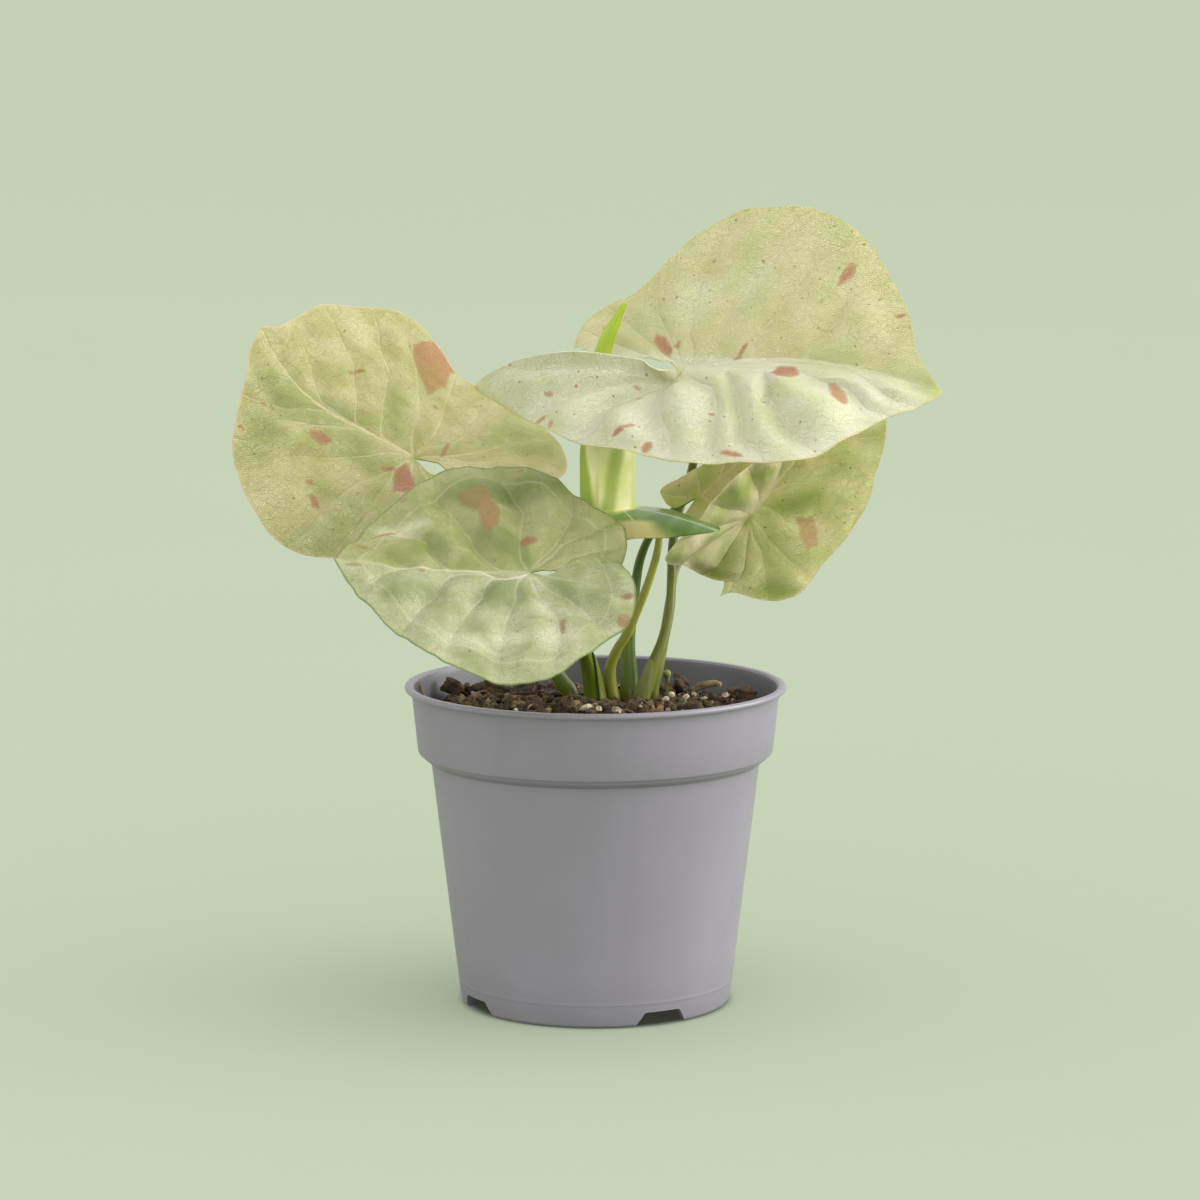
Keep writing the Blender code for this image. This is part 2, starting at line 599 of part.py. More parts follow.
def main():
    clear_scene()
    home = collection("arrowhead_plant")
    tools = collection("cutters", hidden=True)
    pot_grey = material("pot_grey", (0.26, 0.25, 0.25), 0.45)
    soil_dark = material("soil_dark", (0.03, 0.02, 0.012), 0.95)
    greens = {
        "leaf_large": (0.72, 0.74, 0.45), "leaf_left": (0.62, 0.70, 0.33),
        "leaf_front": (0.50, 0.60, 0.30), "leaf_right": (0.42, 0.55, 0.15),
        "leaf_small": (0.40, 0.50, 0.12), "leaf_young": (0.45, 0.58, 0.15),
    }
    build_pot(home, tools, pot_grey)
    build_soil(home, tools, soil_dark)
    for leaf in LEAVES:
        build_leaf(leaf, material(leaf["name"] + "_blade", greens[leaf["name"]], 0.45), home)
    build_young(material("leaf_young_blade", greens["leaf_young"], 0.45), home)
    by_stem = {leaf["name"].replace("leaf", "stem"): leaf for leaf in LEAVES}
    for name, route in STEMS.items():
        rows = [tuple(row) for row in route]
        if name in by_stem:
            leaf = by_stem[name]
            under, lean = JOINS[name]
            turn = turn_matrix(leaf["turn"])
            away = turn @ np.array([lean, 0, 1.0])
            away = away / np.linalg.norm(away)
            top = np.array(leaf["at"]) - turn[:, 2] * under
            rows.append((*(top - away * STEM_RUN_IN), STEM_TOP_RADIUS * 1.15))
            rows.append((*top, STEM_TOP_RADIUS))
        build_tube(name, rows, material(name, (0.25, 0.35, 0.06), 0.45), home)
    for made in home.objects:
        for vertex in made.data.vertices:
            vertex.co.x += FRAME_X * MM
            vertex.co.y += FRAME_Y * MM
        made.data.update()


main()
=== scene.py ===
import math
import random

import bpy
import numpy as np
from mathutils import Euler, Matrix, Vector, noise


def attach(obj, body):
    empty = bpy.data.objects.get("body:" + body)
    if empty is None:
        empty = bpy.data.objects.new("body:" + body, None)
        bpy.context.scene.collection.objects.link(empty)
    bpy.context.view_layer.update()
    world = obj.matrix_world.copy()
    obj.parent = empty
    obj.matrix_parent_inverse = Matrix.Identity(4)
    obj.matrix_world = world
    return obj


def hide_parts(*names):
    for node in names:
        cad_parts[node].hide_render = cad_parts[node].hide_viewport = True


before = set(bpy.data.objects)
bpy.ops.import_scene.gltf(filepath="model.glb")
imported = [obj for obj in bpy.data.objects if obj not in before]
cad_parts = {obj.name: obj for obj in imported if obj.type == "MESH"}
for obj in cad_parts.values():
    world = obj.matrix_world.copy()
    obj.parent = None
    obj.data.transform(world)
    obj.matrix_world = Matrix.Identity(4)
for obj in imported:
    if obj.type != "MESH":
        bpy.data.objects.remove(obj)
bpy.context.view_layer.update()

MM = 0.001
FRAME_SHIFT = np.array([3.0 * MM, 14.8 * MM, 0.0])
MERGE_DISTANCE = 0.02

# Blades: the bow of the midrib, the bands beside the sinus that lift and turn back, the
# thickness, and how spokes crowd towards the tip and rings towards the margin
RIB_BOW = 8.0
LIFT_POWER = 0.65
SINUS_BAND = 45.0
EYE_BAND = 60.0
BLADE_THICK = 0.46
EDGE_THIN = 0.45
SPOKE_CROWD = 9.0
RING_POWER = 0.9
# Puckers of the blade: size, seed and share
PUCKERS = ((9.0, 3.1, 1.0), (3.6, 8.4, 0.35))
# Further out than this, a patch no longer counts
FAR = 30.0

# Leaf skin: the size of a cell, the room, share and second colour of the specks, the width of a
# vein, where the green joint with the stem lies, and how light scatters under the skin: weight,
# radius of each colour, and scale
CELL = 0.72
SPECK_ROOM = 4.8
SPECK_SHARE = 0.42
SPECK_BROWN = (0.18, 0.14, 0.05, 1)
VEIN_WIDTH = 0.2
JOINT = (-1.2, 0.0, 0.0)
SKIN_RADIUS = (0.9, 1.0, 0.4)
SKIN = (0.22, SKIN_RADIUS, 0.0012)
UNDER_SKIN = (0.2, SKIN_RADIUS, 0.0012)
YOUNG_SKIN = (0.25, SKIN_RADIUS, 0.0015)
STEM_SKIN = (0.15, (0.6, 1.0, 0.3), 0.001)

# Each leaf: its junction with the stem, its turn, the fold and cup of its halves, its arch, the
# lift of its sinus edges, the eye at the junction, the wave of its margin, its size, lean and
# midrib bow, and its outline as (angle, radius). Then its veins on the flat blade, in
# millimetres with x towards the tip and y to the left, each half listed from the tip to the sinus.
# Sinus edges: opening turn and its end, lap turn and where it starts and ends, and lap lift.
# Patches are ovals (x, y, half length, half width, turn in degrees) or rings of corners: pink and
# tan spots; green smudges, partly the leaf's own green and partly painted shade; deeper green zones,
# partly the leaf's own colour and partly painted shade in valleys and folds; and paler zones, partly
# paler cream tissue and partly painted sheen highlight. Paints are 0-255 display colours: lit, shade,
# green, vein, margin, pink and tan on top, and body, vein and blush on the underside.
LEVEL = {"lift": (0.0, 0.0), "eye": 0.0, "size": 1.0, "skew": 0.0, "rib": 0.0, "lean": (1.0, 1.0),
         "pink": (), "tan": (), "smudge_and_shade": (), "deep": (), "pale": ()}
LARGE = {**LEVEL,
    "name": "leaf_large", "at": (26.6, -5.0, 199.1), "turn": (-21.8, 2.2, 49.0), "fold": (15.8, 15.8),
    "cup": (-0.9, -0.9), "arch": (-5.5, 2.6), "lift": (4.0, 16.5), "eye": 0.09, "wave": (0.7, 7.0, 0.4),
    "skew": 3.2, "rib": 6.2,
    "left": ((0, 82), (3.5, 77.5), (9, 73), (17, 72), (30, 70.5), (44, 70), (58, 66), (68, 60), (78, 56),
        (87, 48.5), (100, 40), (111, 35), (125, 32.5), (144, 36.5), (160, 37.5), (169, 37)),
    "right": ((0, 82), (5, 77), (14, 67.5), (28, 63), (42, 60.5), (58, 51.5), (75, 46), (90, 41.5),
        (102, 40), (118, 40.5), (131, 44), (146, 49), (154, 53.5), (162, 59), (170, 66)),
    "mesh": (400, 80), "midrib": ((1, 0.5), (7, 4), (18, 5), (34, 7), (49, 7), (62, 7), (73, 5), (81, 5)),
    "left_veins": (((54, 7), (62, 14), (66, 20)), ((37, 7), (44, 18), (48, 29), (54, 34)),
        ((20, 5), (24, 16), (29, 27), (36, 39), (45, 47)),
        ((7, 4), (11, 14), (15, 24), (19, 32), (27, 46)), ((1, 1), (1, 12), (2, 24), (6, 38)),
        ((0, 1), (-4, 9), (-10, 19), (-12, 27)), ((-1, 1), (-10, 8), (-20, 16)),
        ((-1, 0.5), (-14, 5), (-30, 11))),
    "right_veins": (((50, 7), (60, 1), (68, -4)), ((37, 2), (45, -1), (54, -3), (60, -10)),
        ((26, 1), (32, -13), (39, -24), (43, -30)), ((13, 1), (19, -7), (24, -19), (28, -32)),
        ((5, -4), (12, -8), (16, -16), (18, -26), (20, -38)),
        ((-1, -2), (-3, -7), (-2, -16), (4, -28), (8, -38)),
        ((-2, -4), (-10, -12), (-18, -19), (-20, -28), (-22, -36)),
        ((-3, -3), (-16, -11), (-27, -16), (-36, -21), (-42, -28)),
        ((-1, -1), (-16, -7), (-34, -10), (-51, -11))), "pleat": (0.4, 0.85), "lean": (1.0, 1.4),
    "pucker": 0.5,
    "sinus": {"left": (14.0, 0.19, 12.5, 0.26, 0.95, 0.0), "right": (45.0, 0.145, 0.0, 0.3, 0.9, 0.0)},
    "pink": (((-4, 4.6), (-3.6, 8), (-6.6, 12), (-10, 12.6), (-10.6, 10), (-7.6, 6.4)),
        (18.5, 8, 3.2, 0.8, 65), (17, 5.5, 1.6, 0.8, 20),
        ((28.6, -0.4), (31, 3.8), (36, 4), (38, 1), (36, -3.4), (31.6, -3.2)),
        ((46.6, -1.6), (49, -1), (53, -4.6), (55, -11), (53, -13.6), (49.4, -9.6)),
        ((43.6, 31), (45.2, 32.6), (48.6, 36.6), (48.8, 40.8), (46, 41), (44.2, 36)),
        (64, 26, 2.0, 0.8, 20), (40, 26, 0.8, 0.6, 0), (57, 30, 0.9, 0.6, 40), (-38, -27, 2.2, 1.1, 40),
        (-34, -29, 1.6, 0.9, 80), (-9.5, -33, 2.4, 1.3, 30), (-6.5, -31, 2.2, 0.8, 35),
        (0.5, -38, 2.6, 1.6, 80), (26, -39.5, 3.6, 1.2, -8), (0.5, -7, 2.0, 0.9, 60),
        (-2, 9.5, 1.5, 0.8, 80), (-11, -10, 1.3, 0.7, 0), (13, 55.5, 1.6, 0.7, 20),
        (16, -22, 1.2, 1.0, 0), (-9, -15, 1.2, 0.8, 40), (-50, -10, 1.6, 0.9, 20),
        (-37, -18, 1.5, 0.8, 10)),
    "smudge_and_shade": ((80, 5, 8, 4, 0), (20, 26, 9, 2.2, 60), (-14, 18, 6, 2.6, 60), (46, 8, 10, 4, 10),
        (40, -12, 12, 2.4, -25), (22, -20, 10, 2, -60), (34, -24, 9, 2, -50)),
    "deep": ((76, 6, 5, 3, 0),), "pale": ((-24, -14, 10, 5, 30), (2, 24, 9, 6, 60), (20, 33, 8, 3, 60)),
    "looks": {"paints": ((212, 210, 189), (203, 201, 169), (181, 192, 132), (222, 217, 192),
        (200, 186, 132), (178, 116, 88), (198, 156, 108)), "back": ((208, 200, 158), (195, 190, 138)),
        "tip": ((162, 178, 66), 72.0, 84.0), "net_dark": 0.46},
    "under": ((208, 208, 162), (222, 218, 178), (194, 198, 142))}
LEFT = {**LEVEL,
    "name": "leaf_left", "at": (-57.2, 12.0, 170.9), "turn": (165.0, 30.0, -39.0), "fold": (0.0, 0.0),
    "cup": (-6.0, -7.0), "arch": (7.5, 5.0), "wave": (0.8, 6.0, 1.0), "size": 1.014,
    "left": ((0, 63), (8, 61.5), (17, 58), (28, 57), (39, 57), (49, 56), (60, 55), (72, 53.5), (80, 50),
        (92, 43.5), (105, 44), (120, 45), (132, 48), (146, 47), (158, 40), (169, 28)),
    "right": ((0, 63), (6, 59), (18, 58.5), (26, 59.5), (37, 58), (48, 59), (59, 60), (66, 54.5),
        (78, 44), (90, 44), (105, 45.5), (120, 47.5), (131, 49), (146, 48), (158, 42), (169, 28)),
    "mesh": (340, 68), "midrib": ((1, 0), (16, 2), (30, 5), (41, 6), (53, 4), (62, 1)),
    "left_veins": (((30, 5), (40, 14), (50, 20)), ((16, 2), (29, 11), (40, 19), (42, 31)),
        ((3, 1), (11, 9), (20, 18), (30, 26), (36, 38)), ((2, 6), (8, 19), (11, 31), (11, 42)),
        ((1, 2), (1, 12), (0, 28), (1, 40)), ((-1, 2), (-10, 14), (-18, 26), (-22, 36)),
        ((-2, 1), (-16, 8), (-28, 18))),
    "right_veins": (((34, 4), (44, -4), (54, -10)), ((21, 2), (26, -6), (34, -16), (44, -22)),
        ((12, 0), (16, -6), (20, -14), (24, -23), (31, -29), (36, -36)),
        ((1, -1), (7, -14), (14, -25), (20, -34), (26, -39), (30, -48)),
        ((0, -1), (0, -12), (4, -26), (8, -40)), ((0, -1), (-6, -12), (-8, -22), (-5, -32), (-5, -42)),
        ((-1, -1), (-12, -12), (-20, -26)), ((-1, -1), (-15, -10), (-24, -20), (-31, -31))),
    "pleat": (0.24, 0.2), "pucker": 0.8,
    "sinus": {"left": (6.0, 0.36, 0.0, 0.3, 0.9, 0.0), "right": (12.0, 0.4, 0.0, 0.3, 0.9, 0.0)},
    "pink": (((22.4, 13.4), (25, 16.8), (29, 17), (31.2, 14.6), (28.6, 12.8), (25, 12.2)),
        (32, -14, 3.4, 0.9, 60), (-6, -9, 3.4, 1.0, 100),
        ((12.4, 35), (14.6, 36), (18, 33.6), (16.6, 32), (13.8, 33)), (20, 30, 1.6, 1.0, 20),
        (4, 9, 2.6, 1.0, 40), ((1, 3), (2, 8), (-1.6, 16), (-6, 13), (-7, 9), (-4, 6.6)),
        (47, 30, 1.6, 0.8, 0), (47, 19, 1.5, 0.7, 20), (6, -23, 1.2, 0.9, 0), (44, 18, 1.2, 0.7, 0)),
    "tan": (((25, -41), (23, -46), (20, -54), (8, -46), (10, -41), (8, -34), (10, -25), (14, -28),
        (17, -31), (22, -35)),),
    "smudge_and_shade": ((10, 11, 10, 2.6, 20), (20, 8, 9, 2.4, 30), (14, -10, 9, 2.0, -55), (36, 10, 10, 2.2, 15),
        (-24, -30, 10, 6, 40), (43, 11, 9, 5, 15)), "deep": ((40, 25, 5, 2.4, 40), (26, 2, 8, 2, 20)),
    "pale": ((22, 43, 11, 8, 60), (40, -28, 8, 5, -30), (-18, -6, 8, 4, 0)),
    "looks": {"paints": ((184, 179, 132), (164, 162, 100), (126, 140, 58), (206, 198, 154),
        (198, 172, 142), (170, 114, 88), (170, 122, 74)), "gloss": 0.48, "net_dark": 0.34,
        "vein_show": 0.27, "rib_show": 0.62},
    "under": ((196, 198, 144), (214, 210, 168), (182, 188, 126))}
FRONT = {**LEVEL,
    "name": "leaf_front", "at": (-19.7, -48.0, 142.4), "turn": (185.5, 0.0, -30.0), "fold": (-2.0, -2.0),
    "cup": (-1.3, 4.7), "arch": (3.0, 2.0), "eye": 0.08, "wave": (0.8, 7.0, 2.0), "size": 0.994,
    "left": ((0, 60), (8, 57), (17, 54), (30, 52), (46, 51), (62, 50), (79, 50), (91, 49), (101, 45),
        (111, 41), (123, 38), (137, 38), (150, 35), (162, 32), (178, 27)),
    "right": ((0, 60), (10, 55), (20, 52.5), (36, 51), (60, 51), (75, 51), (88, 49), (99, 45), (111, 41),
        (123, 38), (138, 38), (145, 37), (154, 34), (164, 31), (178, 27)), "mesh": (340, 68),
    "midrib": ((1, 1), (15, 0), (24, 0), (39, 0), (56, 0)),
    "left_veins": (((39, 0), (46, 6), (51, 12)), ((24, 2), (29, 12), (36, 22), (40, 30)),
        ((9, 1), (15, 12), (22, 24), (28, 38)), ((2, 2), (5, 13), (9, 24), (12, 44)),
        ((0, 3), (-3, 13), (-6, 20), (-7, 29), (-4, 42)), ((-1, 2), (-10, 12), (-17, 22), (-24, 30)),
        ((-3, 1), (-15, 6), (-23, 9), (-29, 14))),
    "right_veins": (((36, 0), (44, -5), (50, -12)), ((24, 0), (31, -13), (37, -16), (44, -22)),
        ((7, 0), (13, -6), (17, -16), (23, -27), (32, -38)),
        ((1, -2), (2, -14), (0, -28), (3, -36), (8, -48)), ((-1, -2), (-8, -12), (-14, -24), (-16, -36)),
        ((-1, -1), (-10, -12), (-20, -19), (-28, -24)), ((-2, 0), (-13, -7), (-22, -9), (-30, -10))),
    "pleat": (0.55, 0.6), "pucker": 1.4,
    "sinus": {"left": (6.0, 0.25, 9.0, 0.24, 2.0, 0.9), "right": (6.0, 0.25, 3.0, 0.24, 2.0, -0.2)},
    "pink": ((50, -7, 3.0, 1.6, 0), ((47.6, -12.6), (44, -15), (39, -18.6), (40.4, -15.4), (43.6, -13)),
        (54, 2, 2.8, 1.0, 0), (-1, -14, 2.4, 2.2, 20), (38, -14, 1.4, 1.0, 0), (37, -32, 1.8, 0.9, 60),
        (15, -40, 1.2, 1.0, 0), (0, -46, 1.4, 1.0, 0), (-27, 25, 3.0, 2.6, 0), (-28, 14, 2.2, 1.8, 0),
        (33, 2, 1.2, 1.0, 0), (-8, 26, 1.0, 3.2, 0)),
    "tan": (((21.4, -32.6), (16, -35), (12, -37), (9.4, -33), (7.4, -26), (8.4, -20), (12, -15.4),
        (13.6, -20), (15, -25), (18, -28)), (0, -14, 2.6, 2.4, 20)),
    "smudge_and_shade": ((2, 13, 8, 2.2, 110), (30, -10, 6, 4, 20), (4, -38, 22, 5, 10), (-10, 10, 7, 2, 120),
        (8, 12, 8, 3.5, 50), (4, -10, 8, 3.4, -70), (-20, 14, 5, 3, 30), (36, 12, 9, 3, 20)),
    "deep": ((-26, -2, 6, 4, 0), (9, -15, 8, 4, -60), (2, -36, 16, 4, 5), (12, 10, 7, 2.4, 50)),
    "pale": ((20, 34, 7, 3, -20), (-6, 31, 7, 4, 0), (8, 31, 6, 3, 0), (-2, 18, 3.5, 4, 0),
        (38, -18, 8, 3, 20)),
    "looks": {"paints": ((160, 160, 110), (138, 142, 84), (98, 116, 42), (214, 210, 184), (84, 104, 36),
        (150, 110, 76), (144, 112, 66)), "back": ((174, 175, 142), (150, 154, 108)), "gloss": 0.26,
        "net_dark": 0.4, "mottle": (0.3, 0.72), "vein_show": 0.2, "collector": 6.0, "rib_show": 0.42,
        "relief": 0.6}, "under": ((190, 194, 148), (208, 206, 166), (170, 180, 126))}
RIGHT = {**LEVEL,
    "name": "leaf_right", "at": (48.6, 16.5, 151.9), "turn": (10.0, 50.0, 100.0), "fold": (35.0, 35.0),
    "cup": (2.0, 2.0), "arch": (-4.0, -2.0), "wave": (0.5, 6.0, 0.0), "size": 0.997,
    "left": ((0, 60), (12, 51), (24, 42), (40, 31), (59, 23), (75, 24), (95, 24), (114, 25), (126, 29),
        (136, 36), (144, 34), (154, 28), (166, 25), (180, 23), (192, 20)),
    "right": ((0, 60), (10, 56.5), (22, 50.5), (34, 42), (48, 37), (61, 33), (76, 29.5), (89, 28.5),
        (106, 29.5), (122, 28.5), (135, 26.5), (146, 24.9), (154, 25.0), (160, 27.0)), "mesh": (320, 60),
    "midrib": ((1, 0), (18, 0), (32, -1), (45, -2), (58, -1)),
    "left_veins": (((28, 0), (38, 6), (46, 12)), ((14, 1), (22, 10), (28, 18)),
        ((4, 1), (8, 10), (10, 22)), ((0, 2), (-3, 12), (-5, 22)), ((-2, 2), (-11, 14), (-19, 22)),
        ((-2, 1), (-14, 8), (-26, 12))),
    "right_veins": (((26, -1), (36, -9), (44, -18)), ((10, -1), (20, -8), (28, -18), (34, -26)),
        ((4, -1), (6, -9), (9, -15), (19, -25)), ((0, -1), (-2, -10), (-3, -26)),
        ((-1, -1), (-6, -10), (-13, -18), (-18, -24)), ((-1, -1), (-12, -7), (-24, -11))),
    "pleat": (0.75, 0.45), "pucker": 1.0,
    "sinus": {"left": (0.0, 0.2, 17.0, 0.0, 2.0, 0.8), "right": (0.0, 0.2, 4.0, 0.0, 0.9, -0.7)},
    "pink": ((30, -30, 0.9, 0.7, 30),),
    "tan": (((8.4, -11.6), (12.6, -15.6), (9.6, -19.8), (6, -23), (2.6, -21), (4.6, -16)),),
    "smudge_and_shade": (((-12, 23), (10, 20), (16, 9), (11, 4), (0, 12), (-10, 10)),
        ((-27, 27), (-20, 25), (-25, 20)), (10, -7, 7, 3, -30), (-4, -15, 8, 3, -110),
        (44, -18, 6, 2.4, -30), (-12, -23, 7, 3, -60), (-17, -2, 6, 2, 10), (14, -10, 6, 2.4, -30)),
    "deep": ((-21, 24, 6, 4.4, 0), (-17, -2, 7, 3, 10), (4, 15, 7, 2, 20), (14, -10, 5, 1.8, -30),
        (-12, -22, 5, 2.4, -60)),
    "pale": ((5, -12, 4, 2.2, -50), (20, -5, 7, 3, 0), (-11, -6.5, 12, 1.6, 30), (-12, 4, 10, 4, -20),
        (5, 5, 7, 2.4, 40), (31, -20, 10, 3.5, -35), (1, -3, 5, 1.6, -60), (24, -17, 5, 2.4, -35)),
    "looks": {"paints": ((235, 226, 176), (217, 216, 144), (150, 172, 60), (236, 228, 182),
        (222, 200, 170), (206, 160, 126), (220, 182, 136)), "back": ((236, 216, 190), (182, 180, 126)),
        "net_dark": 0.3, "mottle": (0.34, 0.66)},
    "under": ((188, 188, 134), (212, 204, 166), (206, 188, 158))}
SMALL_EDGE = ((0, 45), (15, 30), (30, 19), (54, 11.5), (78, 10.5), (105, 11.5), (120, 14), (129, 15),
        (140, 13), (152, 11), (166, 8))
SMALL_VEINS = (((18, 0), (26, 4), (32, 8)), ((8, 0), (14, 5), (18, 10)),
               ((1, 1), (3, 6), (4, 11)), ((-1, 1), (-6, 6), (-9, 10)))
SMALL = {**LEVEL,
    "name": "leaf_small", "at": (32.2, 19.5, 157.7), "turn": (18.0, 36.0, 90.0), "fold": (25.0, 25.0),
    "cup": (2.0, 2.0), "arch": (-4.0, -2.0), "wave": (0.3, 5.0, 0.0), "left": SMALL_EDGE,
    "right": SMALL_EDGE, "mesh": (180, 44), "midrib": ((1, 0), (20, 0), (44, 0)),
    "left_veins": SMALL_VEINS,
    "right_veins": tuple(tuple((x, -y) for x, y in line) for line in SMALL_VEINS), "pleat": (0.24, 0.24),
    "pucker": 0.4,
    "sinus": {"left": (0.0, 0.2, 0.0, 0.3, 0.9, 0.0), "right": (0.0, 0.2, 0.0, 0.3, 0.9, 0.0)},
    "smudge_and_shade": ((10, 5, 26, 4, 10), (-12, 6, 6, 5, 0)), "pale": ((-14, 10, 6, 4, 20),),
    "looks": {"paints": ((246, 228, 202), (232, 226, 162), (176, 206, 62), (246, 230, 200),
        (234, 206, 184), (178, 116, 88), (198, 156, 108)), "gloss": 0.4, "net_dark": 0.2,
        "vein_show": 0.6}, "under": ((192, 188, 138), (210, 200, 162), (206, 186, 156))}

# The young leaf, still rolled, and the collar of lobes at its foot: (x, y, z, radius) of the tube,
# and (angle, reach, drop) of the collar
ROLL_LINE = ((3.3, -2.0, 157.2, 9.2), (3.3, -2.0, 161.0, 9.35), (3.3, -2.0, 168.0, 9.35),
             (3.3, -2.0, 175.5, 9.2), (3.1, -2.0, 182.5, 7.0), (2.7, -2.3, 190.5, 4.2),
             (2.2, -2.8, 199.2, 2.9), (2.6, -3.3, 206.3, 2.4), (5.2, -3.8, 213.1, 1.9),
             (9.0, -4.0, 220.8, 0.6))
ROLL_TURNS = 1.16
ROLL_START = -104.0
ROLL_TIGHTEN = 0.22
ROLL_SLIM_SPAN = 352.0
ROLL_WIDTHS = (7.2, 8.8)
SPIKE_TWIST = 150.0
SPIKE_FROM, SPIKE_TO = 181.0, 197.0
COLLAR_REACH = ((-104, 5, 7), (-82, 9, 9), (-62, 14, 7.5), (-45, 22, 6.5), (-28, 30.5, 5.5),
                (-14, 22, 3.5), (2, 12, 1.5), (20, 5, 2), (60, 2.5, 3), (150, 2, 3), (215, 1.5, 3),
                (245, 0.2, 3), (314, 0.2, 3))
COLLAR_SHARE = 0.24
ROLL_MESH = (220, 130)
# Green bands down the roll: from and to angle, degrees per millimetre of height, strength
ROLL_BANDS = ((172, 224, 1.6, 0.95), (-84, -66, -1.19, 0.75), (-30, -6, 0.0, 0.3))
BAND_HEIGHT = 168.0

# Stems: route points with radii, from inside the soil to just under the blade
STEMS = {
    "stem_large": ((15.0, 4.0, 84.0, 2.4), (15.0, 4.0, 95.0, 2.4), (16.2, 4.0, 99.8, 2.4),
                   (18.3, 5.0, 106.0, 2.2), (21.3, 7.0, 113.7, 1.8), (23.5, 10.0, 123.0, 1.6),
                   (24.1, 14.0, 132.0, 1.55), (24.5, 20.0, 142.0, 1.5), (26.4, 26.0, 151.5, 1.5),
                   (29.8, 28.0, 161.5, 1.5), (31.6, 21.5, 172.5, 1.45), (31.0, 10.5, 184.0, 1.4)),
    "stem_left": ((-8.0, 10.0, 84.0, 2.6), (-8.0, 10.0, 95.4, 2.6), (-10.2, 10.0, 99.4, 2.5),
                  (-14.0, 10.0, 105.2, 2.1), (-23.9, 10.5, 121.2, 1.7), (-36.5, 11.5, 141.8, 1.5),
                  (-49.0, 12.5, 160.7, 1.4)),
    "stem_front": ((-0.6, 1.5, 84.0, 3.0), (-0.6, 1.5, 95.1, 3.0), (-1.2, 0.4, 101.0, 2.9),
                   (-2.6, -4.0, 109.0, 2.5), (-5.5, -13.0, 118.2, 2.0), (-10.9, -27.0, 129.0, 1.7),
                   (-15.9, -40.0, 136.5, 1.5)),
    "stem_right": ((18.3, 11.5, 84.0, 1.9), (18.3, 11.5, 97.0, 1.9), (19.8, 12.5, 103.3, 1.8),
                   (21.7, 15.5, 112.3, 1.7), (23.7, 21.0, 124.3, 1.5), (25.6, 27.5, 133.5, 1.4),
                   (30.8, 31.5, 141.0, 1.3), (40.0, 29.5, 147.5, 1.3)),
    "stem_small": ((11.5, 9.5, 84.0, 2.7), (11.5, 9.5, 94.2, 2.7), (11.0, 9.6, 100.6, 2.6),
                   (10.6, 10.0, 113.2, 2.1), (12.5, 12.0, 128.8, 1.7), (14.1, 14.0, 138.1, 1.5),
                   (17.4, 17.0, 145.6, 1.3), (22.5, 20.0, 151.4, 1.2)),
    "stem_young": ((5.8, 3.0, 84.0, 2.1), (5.8, 3.0, 94.6, 2.1), (4.9, 3.0, 99.9, 2.0),
                   (4.7, 2.8, 105.4, 1.9), (6.8, 2.2, 111.1, 1.7), (10.2, 1.4, 116.8, 1.6),
                   (13.0, 0.4, 123.8, 1.5), (15.8, -1.6, 131.0, 1.4), (18.4, -4.0, 139.5, 1.3),
                   (19.8, -6.5, 147.0, 1.2), (20.0, -7.3, 155.4, 1.1)),
}
# The leaf on top of a stem, how far under the blade the stem ends, and how it leans there
JOINS = {"stem_large": (LARGE, 0.72, 0.3), "stem_left": (LEFT, 1.15, 0.5),
         "stem_front": (FRONT, 1.14, 0.5), "stem_right": (RIGHT, 0.88, 0.2),
         "stem_small": (SMALL, 1.42, 1.2)}
STEM_RUN_IN = 4.0
STEM_TOP_RADIUS = 1.0
STEM_SEAT = 0.98
STEM_GROOVE = (0.13, 0.45)
STEM_MESH = (36, 120)
# Paints of the stems and sheaths: low, high and pale streaks
STEM_PAINTS = {
    "stem_young": ((124, 128, 28), (162, 162, 68), (176, 174, 92)),
    "stem_small": ((84, 106, 20), (72, 96, 14), (142, 154, 78)),
    "stem_large": ((108, 114, 32), (108, 110, 34), (144, 146, 72)),
    "stem_front": ((92, 110, 22), (104, 120, 38), (146, 154, 74)),
    "stem_left": ((90, 106, 22), (130, 142, 56), (148, 156, 76)),
    "stem_right": ((98, 110, 28), (128, 132, 60), (156, 156, 88)),
    "sheath_front": ((96, 112, 26), (128, 140, 60), (160, 164, 96)),
    "sheath_large": ((112, 120, 42), (164, 158, 104), (186, 176, 132)),
    "sheath_small": ((98, 116, 36), (146, 160, 88), (178, 184, 120)),
}
# Sheaths at stem feet: stem, first angle, span, top and spread
SHEATHS = {"sheath_front": ("stem_front", -60.0, 150.0, 112.0, 0.35),
           "sheath_large": ("stem_large", 150.0, 150.0, 108.0, 0.35),
           "sheath_small": ("stem_small", 150.0, 140.0, 122.0, 0.2)}
SHEATH_FOOT = 94.0
SHEATH_THICK = 0.35
SHEATH_MESH = (28, 40)

# Pot
POT_HEIGHT = 101.0
RIM_RADIUS = 60.0
RIM_BEAD = 1.8
COLLAR_TOP_RADIUS = 58.0
COLLAR_FOOT_RADIUS = 55.8
COLLAR_FOOT = POT_HEIGHT - 21.5
STEP = POT_HEIGHT - 24.5
STEP_RADIUS = 51.7
FOOT_RADIUS = 42.5
FOOT_ROUND = 1.6
WALL = 1.2
FLOOR_UNDER = 5.0
FLOOR_TOP = 6.2
FOOT_RING_INNER = 38.6
NOTCH_HEIGHT = 4.6
NOTCH_TOP_WIDTH = 12.0
NOTCH_FOOT_WIDTH = 18.0
NOTCH_TURN = -61.0
NOTCH_COUNT = 4
DRAIN_RADIUS = 4.0
DRAIN_RING = 30.0
POT_STEPS = 192
MOULD_LINE = 7.5

